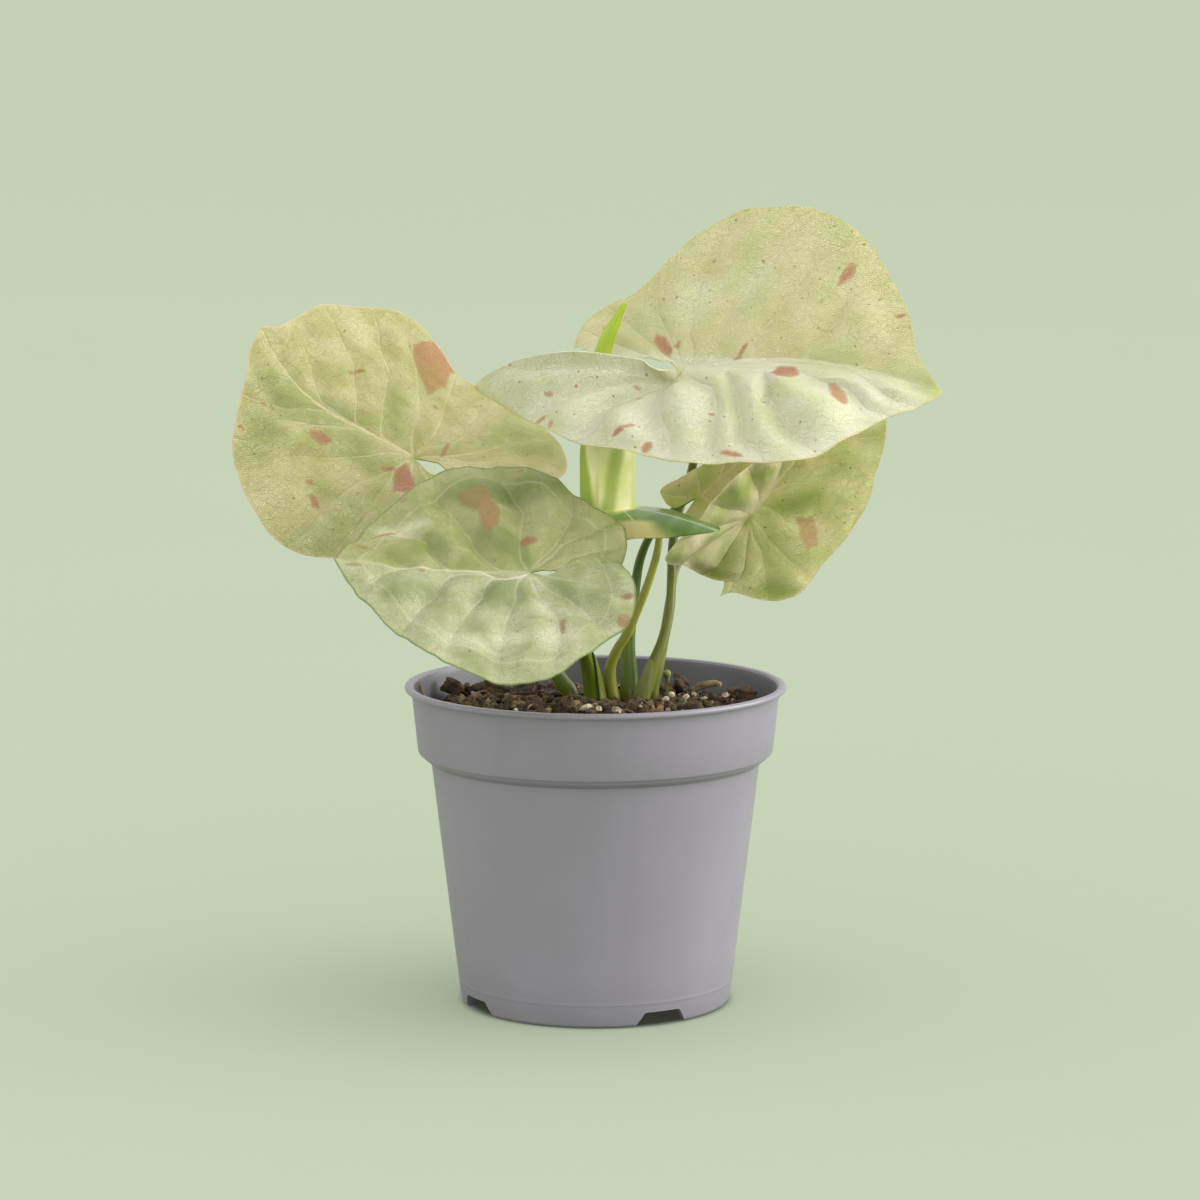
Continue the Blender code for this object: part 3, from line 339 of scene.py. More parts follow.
# Soil
SOIL_EDGE_HEIGHT = 90.5
SOIL_MIDDLE_HEIGHT = 95.0
SOIL_FOOT_HEIGHT = SOIL_EDGE_HEIGHT - 14.0
LUMP_COUNT = 90
LUMP_SEED = 7
CROWN = (6.0, 6.0)
CROWN_FLAT = 17.0
CROWN_FADE = 8.0
LUMP_REACH = 52.0
LUMP_LOW = -1.6
LUMP_HIGH = 3.6
LUMP_SIZE = (4.5, 8.5)
LUMP_RISE = (-0.9, 2.2)
SOIL_WALL = 55.0
WALL_FADE = 6.0
SOIL_CELLS = 190
# Crumbly unevenness on top of the source's mound: size, seed and height
SOIL_RIPPLES = ((6.0, 2.0, 1.5), (2.6, 5.0, 1.0), (1.2, 9.0, 0.55))
CRUMB_SEED = 21
LITTER_EDGE = 54.5
FIBRE_SEED = 5
FIBRE_COUNT = 46
FIBRE_REACH = 47.0
FIBRE_LENGTH = (4.0, 9.0)
FIBRE_RISE = (0.3, 2.2)
FIBRE_RADIUS = (0.16, 0.34)
# Crumb shapes: seed, flatness and fineness
CRUMBS = ((1.0, 0.8, 2), (4.0, 0.6, 2), (9.0, 0.9, 2))
CLODS = ((2.0, 0.8, 3), (7.0, 0.7, 3))
# Earth kinds: dark and light paint, and the fineness of the grain
EARTHS = {"earth": ((38, 30, 20), (92, 72, 48), 1.0), "peat_crumb": ((42, 34, 24), (104, 82, 54), 1.6),
          "bark_crumb": ((78, 60, 38), (156, 126, 86), 1.8),
          "perlite": ((206, 186, 150), (240, 228, 200), 2.0), "moss": ((66, 74, 28), (120, 126, 56), 2.4),
          "old_root": ((104, 82, 58), (172, 146, 112), 1.2),
          "sprout_skin": ((120, 132, 48), (168, 176, 84), 0.8)}
# Litter: shapes, earth, then how many grains, their least and greatest size, stretch, rise and reach
LITTER = {"soil_clods": (CLODS, "peat_crumb", 26, 4.5, 8.0, 1.5, 0.06, 48.0),
          "soil_crumbs": (CRUMBS, "peat_crumb", 560, 1.2, 4.2, 1.6, 0.16, 53.0),
          "soil_bark": (CRUMBS, "bark_crumb", 170, 1.2, 3.6, 2.6, 0.22, 53.0),
          "soil_perlite": (CRUMBS, "perlite", 40, 1.0, 2.4, 1.2, 0.25, 53.0),
          "soil_moss": (CRUMBS, "moss", 80, 1.2, 2.8, 1.3, 0.25, 53.0)}
# White grains that stand out on the soil, as (x, y, size), and clods with a place of their own
PERLITE = ((-3.0, -24.0, 2.9), (1.0, -26.0, 1.9), (6.5, -28.0, 2.5), (24.0, 2.0, 2.1), (28.5, -2.0, 1.7),
           (22.0, -8.0, 1.9), (34.0, -6.0, 1.6), (41.0, 2.0, 1.7), (31.0, 4.0, 1.5), (14.0, -22.0, 1.6))
PLACED = {
    "soil_clods": [(-46.0, 22.0, 96.5, 7.0, (0.2, 0.1, 0.4), 0.9),
                   (-42.0, 27.0, 94.5, 6.0, (0.3, 0.2, 1.4), 1.3),
                   (-33.0, 24.0, 95.5, 8.0, (0.1, 0.2, 0.2), 1.5),
                   (47.0, 16.0, 95.5, 6.2, (0.2, 0.0, 0.3), 1.4),
                   (27.0, 20.0, 98.0, 6.0, (0.5, 0.4, 1.2), 1.2)],
    "soil_perlite": [(x, y, 97.6 - 0.01 * abs(x) - 0.02 * abs(y + 10), size, (0.2, 0.3, x), 1.3)
                     for x, y, size in PERLITE]}
# Sticks: earth, and a route of (x, y, z, radius)
STICKS = {
    "soil_twig": ("old_root", ((31.0, 14.0, 96.6, 0.9), (34.0, 13.0, 98.2, 1.2), (37.5, 12.0, 99.0, 1.1),
                               (40.0, 11.5, 98.6, 0.7))),
    "soil_root": ("old_root", ((-55.4, 8.0, 100.2, 0.4), (-55.3, 7.0, 98.0, 0.5), (-54.3, 7.5, 95.5, 0.5),
                               (-53.8, 8.0, 91.5, 0.5))),
    "soil_sprout": ("sprout_skin", ((22.4, 18.0, 94.0, 0.6), (22.8, 18.0, 97.0, 0.6),
                                    (22.9, 17.6, 99.6, 0.8), (22.7, 17.2, 101.2, 1.35),
                                    (22.3, 17.0, 102.3, 1.0))),
}
STICK_MESH = (12, 40)
FIBRE_MESH = (8, 14)

# Camera, light and floor
CAMERA_PLACE = (1.4, -1303.97, 310.24)
CAMERA_DOWN = 0.139307
LENS = 126.0
SENSOR = 36.0
# Each soft light: name, azimuth, elevation and spread in degrees, strength, and what it lights
SOFT_LIGHTS = (("studio_key", 4.0, 15.0, 52.0, 3.3, "plant"), ("studio_side", -4.0, 12.0, 60.0, 0.75, "all"),
               ("studio_top", -48.0, 62.0, 120.0, 1.3, "all"),
               ("studio_fill", -140.0, 12.0, 80.0, 1.15, "plant"),
               ("studio_wash", -40.0, 80.0, 60.0, 1.4, "floor"),
               ("studio_open", 0.0, 89.0, 20.0, 2.6, "open"))
SKY_STRENGTH = 0.82
# The paper starts as a disc in metres and grows by rings that rise towards a gentle slope
FLOOR_START = 2.0
FLOOR_RINGS = 22
RING_GROWTH = 1.17
RING_RISE = 0.4
FLOOR_SLOPE = 4.0


# Small helpers

def select_none():
    bpy.ops.object.select_all(action="DESELECT")


def mode(name):
    bpy.ops.object.mode_set(mode=name)


def select_in_mesh(action="SELECT"):
    bpy.ops.mesh.select_all(action=action)


def make_active(piece):
    select_none()
    piece.select_set(True)
    bpy.context.view_layer.objects.active = piece


def apply_modifier(piece, kind, **settings):
    """Adds one modifier to a piece and applies it."""
    make_active(piece)
    added = piece.modifiers.new(kind.lower(), kind)
    for name, value in settings.items():
        setattr(added, name, value)
    bpy.ops.object.modifier_apply(modifier=added.name)


def edit(piece, *steps):
    """Selects all of a piece in edit mode and runs the given operator calls on it."""
    make_active(piece)
    mode("EDIT")
    select_in_mesh()
    for step in steps:
        step()
    mode("OBJECT")


def merge_close():
    bpy.ops.mesh.remove_doubles(threshold=MERGE_DISTANCE * MM)


def face_out():
    bpy.ops.mesh.normals_make_consistent(inside=False)


def positions(piece):
    flat = np.empty(len(piece.data.vertices) * 3, np.float32)
    piece.data.vertices.foreach_get("co", flat)
    return flat.reshape(-1, 3).astype(float)


def place_points(piece, points, shift=True):
    """Puts a piece's vertices at points in millimetres from the pot's axis."""
    metres = np.array(points, float) * MM
    if shift:
        metres = metres + FRAME_SHIFT
    piece.data.vertices.foreach_set("co", metres.astype(np.float32).ravel())
    piece.data.update()


def store(piece, **values):
    """Keeps a number or a vector per vertex, under each name, for the material to read."""
    for name, value in values.items():
        value = np.asarray(value, np.float32)
        kind, key = ("FLOAT_VECTOR", "vector") if value.ndim == 2 else ("FLOAT", "value")
        made = piece.data.attributes.new(name, kind, "POINT")
        made.data.foreach_set(key, value.ravel())


def net(name, columns, rows):
    """A grid primitive, and each vertex's share of the way across and up it."""
    select_none()
    bpy.ops.mesh.primitive_grid_add(x_subdivisions=columns, y_subdivisions=rows, size=2.0,
                                    calc_uvs=False)
    piece = bpy.context.active_object
    piece.name = piece.data.name = name
    square = positions(piece)
    return piece, (square[:, 0] + 1) / 2, (square[:, 1] + 1) / 2


def finish(piece, node, slot, materials, smooth=60):
    """Gives the piece its materials where it has none, its body, and hides the part it replaces; slot is not
    used.
    """
    if not piece.data.materials:
        for material in materials:
            piece.data.materials.append(material)
    make_active(piece)
    bpy.ops.object.shade_smooth_by_angle(angle=math.radians(smooth))
    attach(piece, "root")
    if node:
        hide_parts(node)


def smooth_step(low, high, value):
    t = np.clip((value - low) / (high - low), 0, 1)
    return t * t * (3 - 2 * t)


def cubic(rows, index, t):
    """Catmull-Rom between a row and the next, at a share t of the way."""
    padded = np.vstack([2 * rows[0] - rows[1], rows, 2 * rows[-1] - rows[-2]])
    a, b, c, d = (padded[index + step] for step in range(4))
    t = t[:, None]
    return 0.5 * (2 * b + (c - a) * t + (2 * a - 5 * b + 4 * c - d) * t ** 2
                  + (3 * b - a - 3 * c + d) * t ** 3)


def catmull(points, count):
    """A smooth curve through all points, read at count places spaced by chord."""
    knots = np.array(points, float)
    chord = np.linalg.norm(np.diff(knots[:, :3], axis=0), axis=1)
    place = np.concatenate([[0.0], np.cumsum(chord)])
    wanted = np.linspace(0.0, place[-1], count)
    index = np.clip(np.searchsorted(place, wanted, side="right") - 1, 0, len(knots) - 2)
    return cubic(knots, index, (wanted - place[index]) / chord[index])


def smooth_at(pairs, wanted):
    """A smooth curve through (angle, value, ...) rows, read at the wanted angles."""
    rows = np.array(pairs, float)
    first = rows[:, 0]
    index = np.clip(np.searchsorted(first, wanted, side="right") - 1, 0, len(rows) - 2)
    return cubic(rows, index, (wanted - first[index]) / (first[index + 1] - first[index]))[:, 1:]


def ripple(x, y, size, seed):
    """Soft seeded unevenness between -1 and 1, at a given size in millimetres."""
    return np.array([noise.noise(Vector((a / size, b / size, seed))) for a, b in zip(x, y)])


# Material helpers

def paint(red, green, blue):
    """A colour given as 0-255 display values, as the linear values that a node takes."""
    made = []
    for value in (red, green, blue):
        part = value / 255
        made.append(part / 12.92 if part <= 0.04045 else ((part + 0.055) / 1.055) ** 2.4)
    return (*made, 1.0)


class Nodes:
    """Adds nodes to a tree. Every input is a socket to join or a value to set."""

    def __init__(self, tree):
        self.tree = tree

    def join(self, value, socket):
        if isinstance(value, bpy.types.NodeSocket):
            self.tree.links.new(value, socket)
        else:
            socket.default_value = value

    def add(self, kind, inputs=None, **settings):
        made = self.tree.nodes.new("ShaderNode" + kind)
        for name, value in settings.items():
            setattr(made, name, value)
        for key, value in (inputs or {}).items():
            self.join(value, made.inputs[key])
        return made

    def calc(self, operation, first, second=0.0):
        return self.add("Math", {0: first, 1: second}, operation=operation).outputs[0]

    def times(self, first, second):
        return self.calc("MULTIPLY", first, second)

    def plus(self, first, second):
        return self.calc("ADD", first, second)

    def fade(self, value, low, high, to_low=0.0, to_high=1.0):
        """Smoothly maps low..high of a value to to_low..to_high."""
        return self.add("MapRange", {"Value": value, "From Min": low, "From Max": high,
                                     "To Min": to_low, "To Max": to_high},
                        interpolation_type="SMOOTHSTEP").outputs["Result"]

    def blend(self, share, first, second):
        return self.add("Mix", {0: share, 6: first, 7: second}, data_type="RGBA").outputs[2]

    def grain(self, vector, scale, detail=3.0, roughness=0.6):
        return self.add("TexNoise", {"Vector": vector, "Scale": scale, "Detail": detail,
                                     "Roughness": roughness}).outputs["Fac"]

    def cells(self, vector, scale, feature="F1", dimensions="2D"):
        return self.add("TexVoronoi", {"Vector": vector, "Scale": scale}, feature=feature,
                        voronoi_dimensions=dimensions)

    def vectors(self, operation, first, inputs):
        return self.add("VectorMath", {0: first, **inputs}, operation=operation).outputs

    def part(self, vector, index):
        return self.add("SeparateXYZ", {0: vector}).outputs[index]

    def place(self):
        return self.add("TexCoord").outputs["Object"]

    def read(self, name, output="Fac"):
        return self.add("Attribute", attribute_name=name).outputs[output]

    def group(self, group, inputs):
        return self.add("Group", inputs, node_tree=group).outputs

    def tissue(self, cell, speck_room, speck_share):
        """The leaf tissue on the flat blade."""
        return self.group(TISSUE, {"Place": self.read("flat", "Vector"), "Cell": cell,
                                   "Speck Room": speck_room, "Speck Share": speck_share})


class Material(Nodes):
    """A new material and its shader."""

    def __init__(self, name):
        self.made = bpy.data.materials.new(name)
        self.made.use_nodes = True
        super().__init__(self.made.node_tree)
        self.shader = self.tree.nodes["Principled BSDF"]

    def coat(self, colour, rough, bump=None, skin=None, specular=0.5):
        """Joins colour, roughness and bump; skin says how light scatters under the surface."""
        inputs = self.shader.inputs
        self.join(colour, inputs["Base Color"])
        self.join(rough, inputs["Roughness"])
        inputs["Specular IOR Level"].default_value = specular
        if bump:
            strength, distance, height = bump
            raised = self.add("Bump", {"Strength": strength, "Distance": distance, "Height": height})
            self.join(raised.outputs["Normal"], inputs["Normal"])
        if skin:
            for key, value in zip(("Weight", "Radius", "Scale"), skin):
                inputs["Subsurface " + key].default_value = value
        return self.made


def new_group(name, inputs, outputs):
    """A shader node group with named sockets, its inputs, and a call that joins its outputs."""
    group = bpy.data.node_groups.new(name, "ShaderNodeTree")
    for label, kind, value in inputs:
        socket = group.interface.new_socket(label, in_out="INPUT", socket_type="NodeSocket" + kind)
        if value is not None:
            socket.default_value = value
    for label in outputs:
        group.interface.new_socket(label, in_out="OUTPUT", socket_type="NodeSocketFloat")
    nodes = Nodes(group)
    into = group.nodes.new("NodeGroupInput")
    out = group.nodes.new("NodeGroupOutput")

    def give(*values):
        for label, value in zip(outputs, values):
            nodes.join(value, out.inputs[label])
        return group

    return nodes, into.outputs, give


def tissue_group():
    """Leaf tissue: a fine net of cells, soft mottling and specks, on flat millimetres."""
    nodes, into, give = new_group(
        "leaf_tissue", [("Place", "Vector", None), ("Cell", "Float", 1.0), ("Speck Room", "Float", 7.0),
                        ("Speck Share", "Float", 0.3)], ("Net", "Mottle", "Specks", "Streaks", "Height"))
    place = into["Place"]
    wobble = nodes.add("TexNoise", {"Vector": place, "Scale": 0.35, "Detail": 2.0}).outputs["Color"]
    soft = nodes.vectors("SUBTRACT", wobble, {1: (0.5, 0.5, 0.5)})[0]
    moved = nodes.vectors("ADD", place, {1: nodes.vectors("SCALE", soft, {"Scale": 1.6})[0]})[0]
    size = nodes.calc("DIVIDE", 1.0, into["Cell"])
    small = nodes.cells(moved, size, "DISTANCE_TO_EDGE").outputs["Distance"]
    big = nodes.cells(moved, nodes.times(size, 0.32), "DISTANCE_TO_EDGE").outputs["Distance"]
    netting = nodes.calc("MAXIMUM", nodes.fade(small, 0.0, 0.14, 1.0, 0.0),
                         nodes.fade(big, 0.0, 0.05, 1.0, 0.0))
    mottle = nodes.grain(place, 0.08, 3.0, 0.52)
    field = nodes.cells(moved, nodes.calc("DIVIDE", 1.0, into["Speck Room"])).outputs
    draw = nodes.add("SeparateColor", {0: field["Color"]}).outputs
    chosen = nodes.calc("LESS_THAN", draw[0], into["Speck Share"])
    radius = nodes.times(nodes.plus(draw[1], 0.25), 0.085)
    specks = nodes.times(nodes.fade(field["Distance"], radius, nodes.times(radius, 0.55)), chosen)
    long_place = nodes.add("Mapping", {"Vector": place, "Scale": (0.05, 0.4, 1.0)}).outputs[0]
    streaks = nodes.grain(long_place, 1.0, 3.0, 0.55)
    height = nodes.plus(nodes.times(netting, -0.6), nodes.times(nodes.grain(place, 3.0, 2.0, 0.5), 0.5))
    return give(netting, mottle, specks, streaks, height)


def soft_edge_group():
    """A patch with a torn, slightly wavy edge from a distance in millimetres."""
    nodes, into, give = new_group(
        "patch_edge", [("Place", "Vector", None), ("Distance", "Float", 1.0), ("Tear", "Float", 0.8),
                       ("Soft", "Float", 0.25)], ("Mask",))
    torn = nodes.calc("SUBTRACT", nodes.grain(into["Place"], 0.9, 3.0, 0.7), 0.5)
    edge = nodes.plus(into["Distance"], nodes.times(torn, nodes.times(into["Tear"], 4.0)))
    return give(nodes.fade(edge, into["Soft"], nodes.times(into["Soft"], -1.0)))


TISSUE = tissue_group()
PATCH_EDGE = soft_edge_group()


# Leaves

def turn_matrix(turn):
    """The turn about z, y and x, in degrees, of a leaf that first points along x."""
    (cy, sy), (cp, sp), (cr, sr) = ((math.cos(angle), math.sin(angle)) for angle in np.radians(turn))
    return (np.array([[cy, -sy, 0], [sy, cy, 0], [0, 0, 1]])
            @ np.array([[cp, 0, -sp], [0, 1, 0], [sp, 0, cp]])
            @ np.array([[1, 0, 0], [0, cr, -sr], [0, sr, cr]]))


def arc_end(length, start, per_mm):
    """An arc of the given length: how far along and how high it ends."""
    rate = np.where(np.abs(per_mm) < 1e-7, 1e-7, per_mm)
    end = start + rate * length
    return (np.sin(end) - np.sin(start)) / rate, (np.cos(start) - np.cos(end)) / rate


def flat_blade(leaf, angle, share):
    """Where a spoke angle and a share of the outline lie on the flat blade."""
    radius = np.where(angle >= 0, smooth_at(leaf["left"], np.abs(angle))[:, 0],
                      smooth_at(leaf["right"], np.abs(angle))[:, 0])
    reach = leaf["size"] * radius * share
    spread = np.radians(angle) * (1 - leaf["eye"] * (1 - share) ** 3)
    spread = spread + math.radians(leaf["skew"]) * (1 + np.cos(np.radians(angle))) / 2
    return reach, spread, leaf["size"] * radius * (1 - share)


def shape_blade(leaf, angle, share, x, y, relief):
    """Folds, cups, waves and arches the flat blade into place, with relief on top."""
    rib = leaf["rib"] * (1 - np.exp(-np.clip(x, 0, None) / RIB_BOW))
    side = y >= rib
    fold = np.radians(np.where(side, *leaf["fold"]))
    across, height = arc_end(np.abs(y - rib), fold, np.where(side, *leaf["cup"]) / 1000)
    across = rib + np.where(side, across, -across)
    amount, count, phase = leaf["wave"]
    height = height + amount * share ** 2 * np.sin(np.radians(angle) * count + phase)
    last = np.where(angle >= 0, leaf["left"][-1][0], leaf["right"][-1][0])
    near = np.clip((np.abs(angle) - last + SINUS_BAND) / SINUS_BAND, 0, 1) ** 2
    lift = np.where(angle >= 0, *leaf["lift"])
    height = height + lift * near * np.clip(np.sin(math.pi * share), 0, 1) ** LIFT_POWER
    height = height + relief
    arch = np.where(x >= 0, *leaf["arch"]) / 1000
    turned = arch * x
    local = np.stack([np.sin(turned) / arch - height * np.sin(turned), across,
                      (1 - np.cos(turned)) / arch + height * np.cos(turned)], axis=-1)
    return np.array(leaf["at"]) + local @ turn_matrix(leaf["turn"]).T


def sinus_edges(leaf, angle, share):
    """How far the sinus edges turn back to open the eye and on to overlap, and their lift."""
    turned = np.zeros_like(angle)
    lifted = np.zeros_like(angle)
    for side, key in ((1, "left"), (-1, "right")):
        open_turn, open_end, lap_turn, lap_from, lap_to, lap_lift = leaf["sinus"][key]
        past = angle * side - leaf[key][-1][0]
        near = np.clip((past + SINUS_BAND) / SINUS_BAND, 0, 1) ** 2
        wide = np.clip((past + EYE_BAND) / EYE_BAND, 0, 1) ** 1.3
        hole = (smooth_step(0.0, 0.35 * open_end, share)
                * (1 - smooth_step(0.6 * open_end, open_end, share)))
        lap = (smooth_step(lap_from, lap_from + 0.14, share)
               * (1 - smooth_step(lap_to - 0.18, lap_to, share)))
        turned = turned + side * (near * lap_turn * lap - wide * open_turn * hole)
        lifted = lifted + near * lap * lap_lift
    return np.radians(turned), lifted


def vein_angle(line, reach, side):
    """The angle at which a vein stands at each distance from the junction."""
    rows = np.array(line, float)
    turn = np.degrees(np.arctan2(rows[:, 1], rows[:, 0]))
    turn = np.where(turn * side < -90, turn + 360 * side, turn)
    return np.interp(reach, np.hypot(rows[:, 0], rows[:, 1]), turn)


def vein_field(leaf, reach, spread):
    """A wave that crosses zero on every vein, the room between veins, and the way to the midrib."""
    turn = np.degrees(spread)
    middle = vein_angle(leaf["midrib"], reach, 0)
    wave = np.zeros_like(reach)
    room = np.full_like(reach, 1.0)
    for side, key, lean in ((1, "left", leaf["lean"][0]), (-1, "right", leaf["lean"][1])):
        lines = [middle * side]
        for line in leaf[key + "_veins"]:
            lines.append(np.maximum(vein_angle(line, reach, side) * side, lines[-1] + 0.4))
        limit = leaf[key][-1][0] + 6.0
        lines.append(np.maximum(2 * limit - lines[-1], lines[-1] + 4.0))
        here = turn * side
        for k, (low, high) in enumerate(zip(lines, lines[1:])):
            inside = (here >= low) & (here < high)
            part = np.clip((here - low) / (high - low), 0, 1)
            span = np.radians(high - low) * reach
            value = np.sin(math.pi * part ** lean) * span / math.pi * (-1) ** k * side
            wave = np.where(inside, value, wave)
            room = np.where(inside, span, room)
    return wave, room, np.radians(np.abs(turn - middle)) * reach


def corner_distance(x, y, corners):
    """Millimetres outside a many-cornered patch, negative inside."""
    nearest = np.full_like(x, FAR)
    inside = np.zeros(len(x), bool)
    for (ax, ay), (bx, by) in zip(corners, corners[1:] + corners[:1]):
        run = np.clip(((x - ax) * (bx - ax) + (y - ay) * (by - ay))
                      / ((bx - ax) ** 2 + (by - ay) ** 2), 0, 1)
        nearest = np.minimum(nearest, np.hypot(x - ax - run * (bx - ax), y - ay - run * (by - ay)))
        if ay != by:
            inside = inside ^ (((ay > y) != (by > y)) & (x < (bx - ax) * (y - ay) / (by - ay) + ax))
    return np.where(inside, -nearest, nearest)


def patch_distance(x, y, patches):
    """Millimetres outside the nearest of several ovals or cornered patches, negative inside."""
    nearest = np.full_like(x, FAR)
    for patch in patches:
        if isinstance(patch[0], tuple):
            nearest = np.minimum(nearest, corner_distance(x, y, patch))
            continue
        across, up, long, short, turn = patch
        c, s = math.cos(math.radians(turn)), math.sin(math.radians(turn))
        dx, dy = x - across, y - up
        along, side = dx * c + dy * s, -dx * s + dy * c
        gap = np.hypot(along / long, side / short)
        steep = np.hypot(along / long ** 2, side / short ** 2) / np.maximum(gap, 1e-6)
        nearest = np.minimum(nearest, (gap - 1) / np.maximum(steep, 1e-6))
    return nearest


def build_leaf(leaf):
    name = leaf["name"]
    piece, u, v = net(name + "_piece", *leaf["mesh"])
    left_end, right_end = leaf["left"][-1][0], leaf["right"][-1][0]
    angle = -right_end + (right_end + left_end) * u
    angle = angle - SPOKE_CROWD * np.sin(np.radians(angle)) * (np.abs(angle) < 180)
    angle = np.clip(angle, -right_end, left_end)
    angle = np.where(u <= 0, -right_end, np.where(u >= 1, left_end, angle))
    share = v ** RING_POWER
    reach, spread, edge = flat_blade(leaf, angle, share)
    turned, lifted = sinus_edges(leaf, angle, share)
    spread = spread + turned
    wave, room, off_rib = vein_field(leaf, reach, spread)
    x, y = reach * np.cos(spread), reach * np.sin(spread)
    # Fields swell between the veins and lie calmer at the margin; puckers come in two sizes
    calm = 1 - 0.75 * smooth_step(0.78, 1.0, share)
    swell = np.sqrt(wave ** 2 + 0.35) - math.sqrt(0.35)
    relief = np.where(y >= 0, *leaf["pleat"]) * swell * calm * smooth_step(1.0, 8.0, reach)
    puckers = sum(share_of * ripple(x, y, size, seed) for size, seed, share_of in PUCKERS)
    relief = relief + leaf["pucker"] * puckers * smooth_step(2.0, 12.0, reach) + lifted
    place_points(piece, shape_blade(leaf, angle, share, x, y, relief))
    store(piece, flat=np.stack([x, y, np.zeros_like(x)], -1), vein=wave, room=room, off_rib=off_rib,
          edge=edge, share=share, half=smooth_step(-1.5, 1.5, y - leaf["rib"]))
    store(piece, **{key: patch_distance(x, y, leaf[key])
                    for key in ("pink", "tan", "smudge_and_shade", "pale", "deep")})
    edit(piece, merge_close)
    facing = np.array(piece.data.polygons[len(piece.data.polygons) // 2].normal)
    if facing @ turn_matrix(leaf["turn"])[:, 2] < 0:
        edit(piece, bpy.ops.mesh.flip_normals)
    thin = piece.vertex_groups.new(name="thickness")
    kept = np.empty(len(piece.data.vertices), np.float32)
    piece.data.attributes["edge"].data.foreach_get("value", kept)
    for index, value in enumerate(kept):
        thin.add([index], EDGE_THIN + (1 - EDGE_THIN) * min(1.0, value / 4.0), "REPLACE")
    short = name.replace("leaf_", "")
    thicken(piece, leaf_top(short + "_top", **leaf["looks"]), leaf_under(short + "_under", leaf["under"]),
            vertex_group="thickness")
    finish(piece, name + "_blade", name, ())


def thicken(piece, top, under, **settings):
    """Turns a sheet into a blade with one material above and another below."""
    piece.data.materials.append(top)
    piece.data.materials.append(under)
    apply_modifier(piece, "SOLIDIFY", thickness=BLADE_THICK * MM, offset=0.0, material_offset=1,
                   material_offset_rim=0, **settings)


def darker(colour, red, green, blue):
    return (colour[0] * red, colour[1] * green, colour[2] * blue, 1)


def leaf_top(name, paints, back=None, tip=None, gloss=0.45, vein_show=0.3, rib_show=0.5, net_dark=0.3,
             mottle=(0.34, 0.70), collector=0.0, relief=0.95):
    """The upper side of a blade: mottled cream and green with veins, net, spots and margin."""
    lit, shade, green, vein, margin, pink, tan = (paint(*hue) for hue in paints)
    made = Material(name)
    fade, blend, times, plus, read = made.fade, made.blend, made.times, made.plus, made.read
    netting, cloud, specks, streaks, height = made.tissue(CELL, SPECK_ROOM, SPECK_SHARE)
    place, edge, share = read("flat", "Vector"), read("edge"), read("share")
    line = made.calc("ABSOLUTE", read("vein"))
    spread = fade(cloud, *mottle)
    colour = blend(spread, lit, shade)
    if back:
        colour = blend(read("half"), colour, blend(spread, *(paint(*hue) for hue in back)))
    colour = blend(fade(streaks, 0.50, 0.75, 0.0, 0.22), colour, green)
    # The middle of each field between veins is greener than its edges
    middle = fade(made.calc("DIVIDE", line, plus(read("room"), 0.5)), 0.10, 0.30, 0.0, 0.24)
    colour = blend(times(middle, cloud), colour, green)
    # Green smudges: partly the leaf's own green, partly painted shade on lit places and in valleys
    smudge_and_shade = fade(plus(read("smudge_and_shade"), times(streaks, 5.0)), 0.0, 6.0, 0.45, 0.0)
    colour = blend(smudge_and_shade, colour, green)
    # Paler zones: partly the leaf's own cream, partly painted sheen highlight
    pale = fade(plus(read("pale"), times(streaks, 4.0)), -2.0, 5.5, 0.5, 0.0)
    colour = blend(pale, colour, vein)
    # Deeper green zones: partly the leaf's own colour, partly painted shade in valleys and folds
    deep = fade(plus(read("deep"), times(cloud, 4.0)), 0.0, 6.0, 0.42, 0.0)
    colour = blend(deep, colour, darker(green, 0.72, 0.72, 0.72))
    colour = blend(times(netting, net_dark), colour, green)
    # Veins thin out towards the margin
    width = fade(share, 0.0, 1.0, VEIN_WIDTH, VEIN_WIDTH * 0.35)
    vein_mask = fade(line, width, plus(width, 0.55), 1.0, 0.0)
    colour = blend(times(vein_mask, fade(share, 0.35, 1.0, vein_show, vein_show * 0.15)), colour, vein)
    midrib = times(fade(read("off_rib"), 0.15, 0.75, 1.0, 0.0),
                   fade(share, 0.5, 1.0, rib_show, 0.2 * rib_show))
    colour = blend(midrib, colour, vein)
    if collector:
        gap = made.calc("ABSOLUTE", made.calc("SUBTRACT", edge, plus(collector, times(cloud, 3.0))))
        colour = blend(fade(gap, 0.1, 0.6, 0.16, 0.0), colour, vein)
    colour = blend(times(specks, 0.75), colour, blend(fade(cloud, 0.4, 0.6), pink, SPECK_BROWN))
    for key, hue, tear in (("pink", pink, 0.5), ("tan", tan, 0.6)):
        apart = read(key)
        mask = made.group(PATCH_EDGE, {"Place": place, "Distance": apart, "Tear": tear,
                                       "Soft": 0.32})["Mask"]
        tone = blend(netting, hue, darker(hue, 0.8, 0.74, 0.7))
        tone = blend(fade(cloud, 0.35, 0.7, 0.0, 0.3), tone, green)
        # Small spots stay fainter than the middle of a large patch
        colour = blend(times(mask, fade(apart, -1.2, 0.2, 0.9, 0.42)), colour, tone)
    if tip:
        hue, low, high = tip
        colour = blend(fade(made.part(place, 0), low, high, 0.0, 0.8), colour, paint(*hue))
    joint = made.vectors("DISTANCE", place, {1: JOINT})["Value"]
    colour = blend(fade(joint, 0.8, 3.2, 0.6, 0.0), colour, green)
    colour = blend(fade(plus(edge, times(cloud, 0.8)), 0.45, 1.3, 0.8, 0.0), colour, margin)
    return made.coat(colour, fade(cloud, 0.3, 0.7, gloss - 0.06, gloss + 0.10),
                     (relief, 0.0003, plus(height, times(vein_mask, -0.6))), SKIN, 0.42)


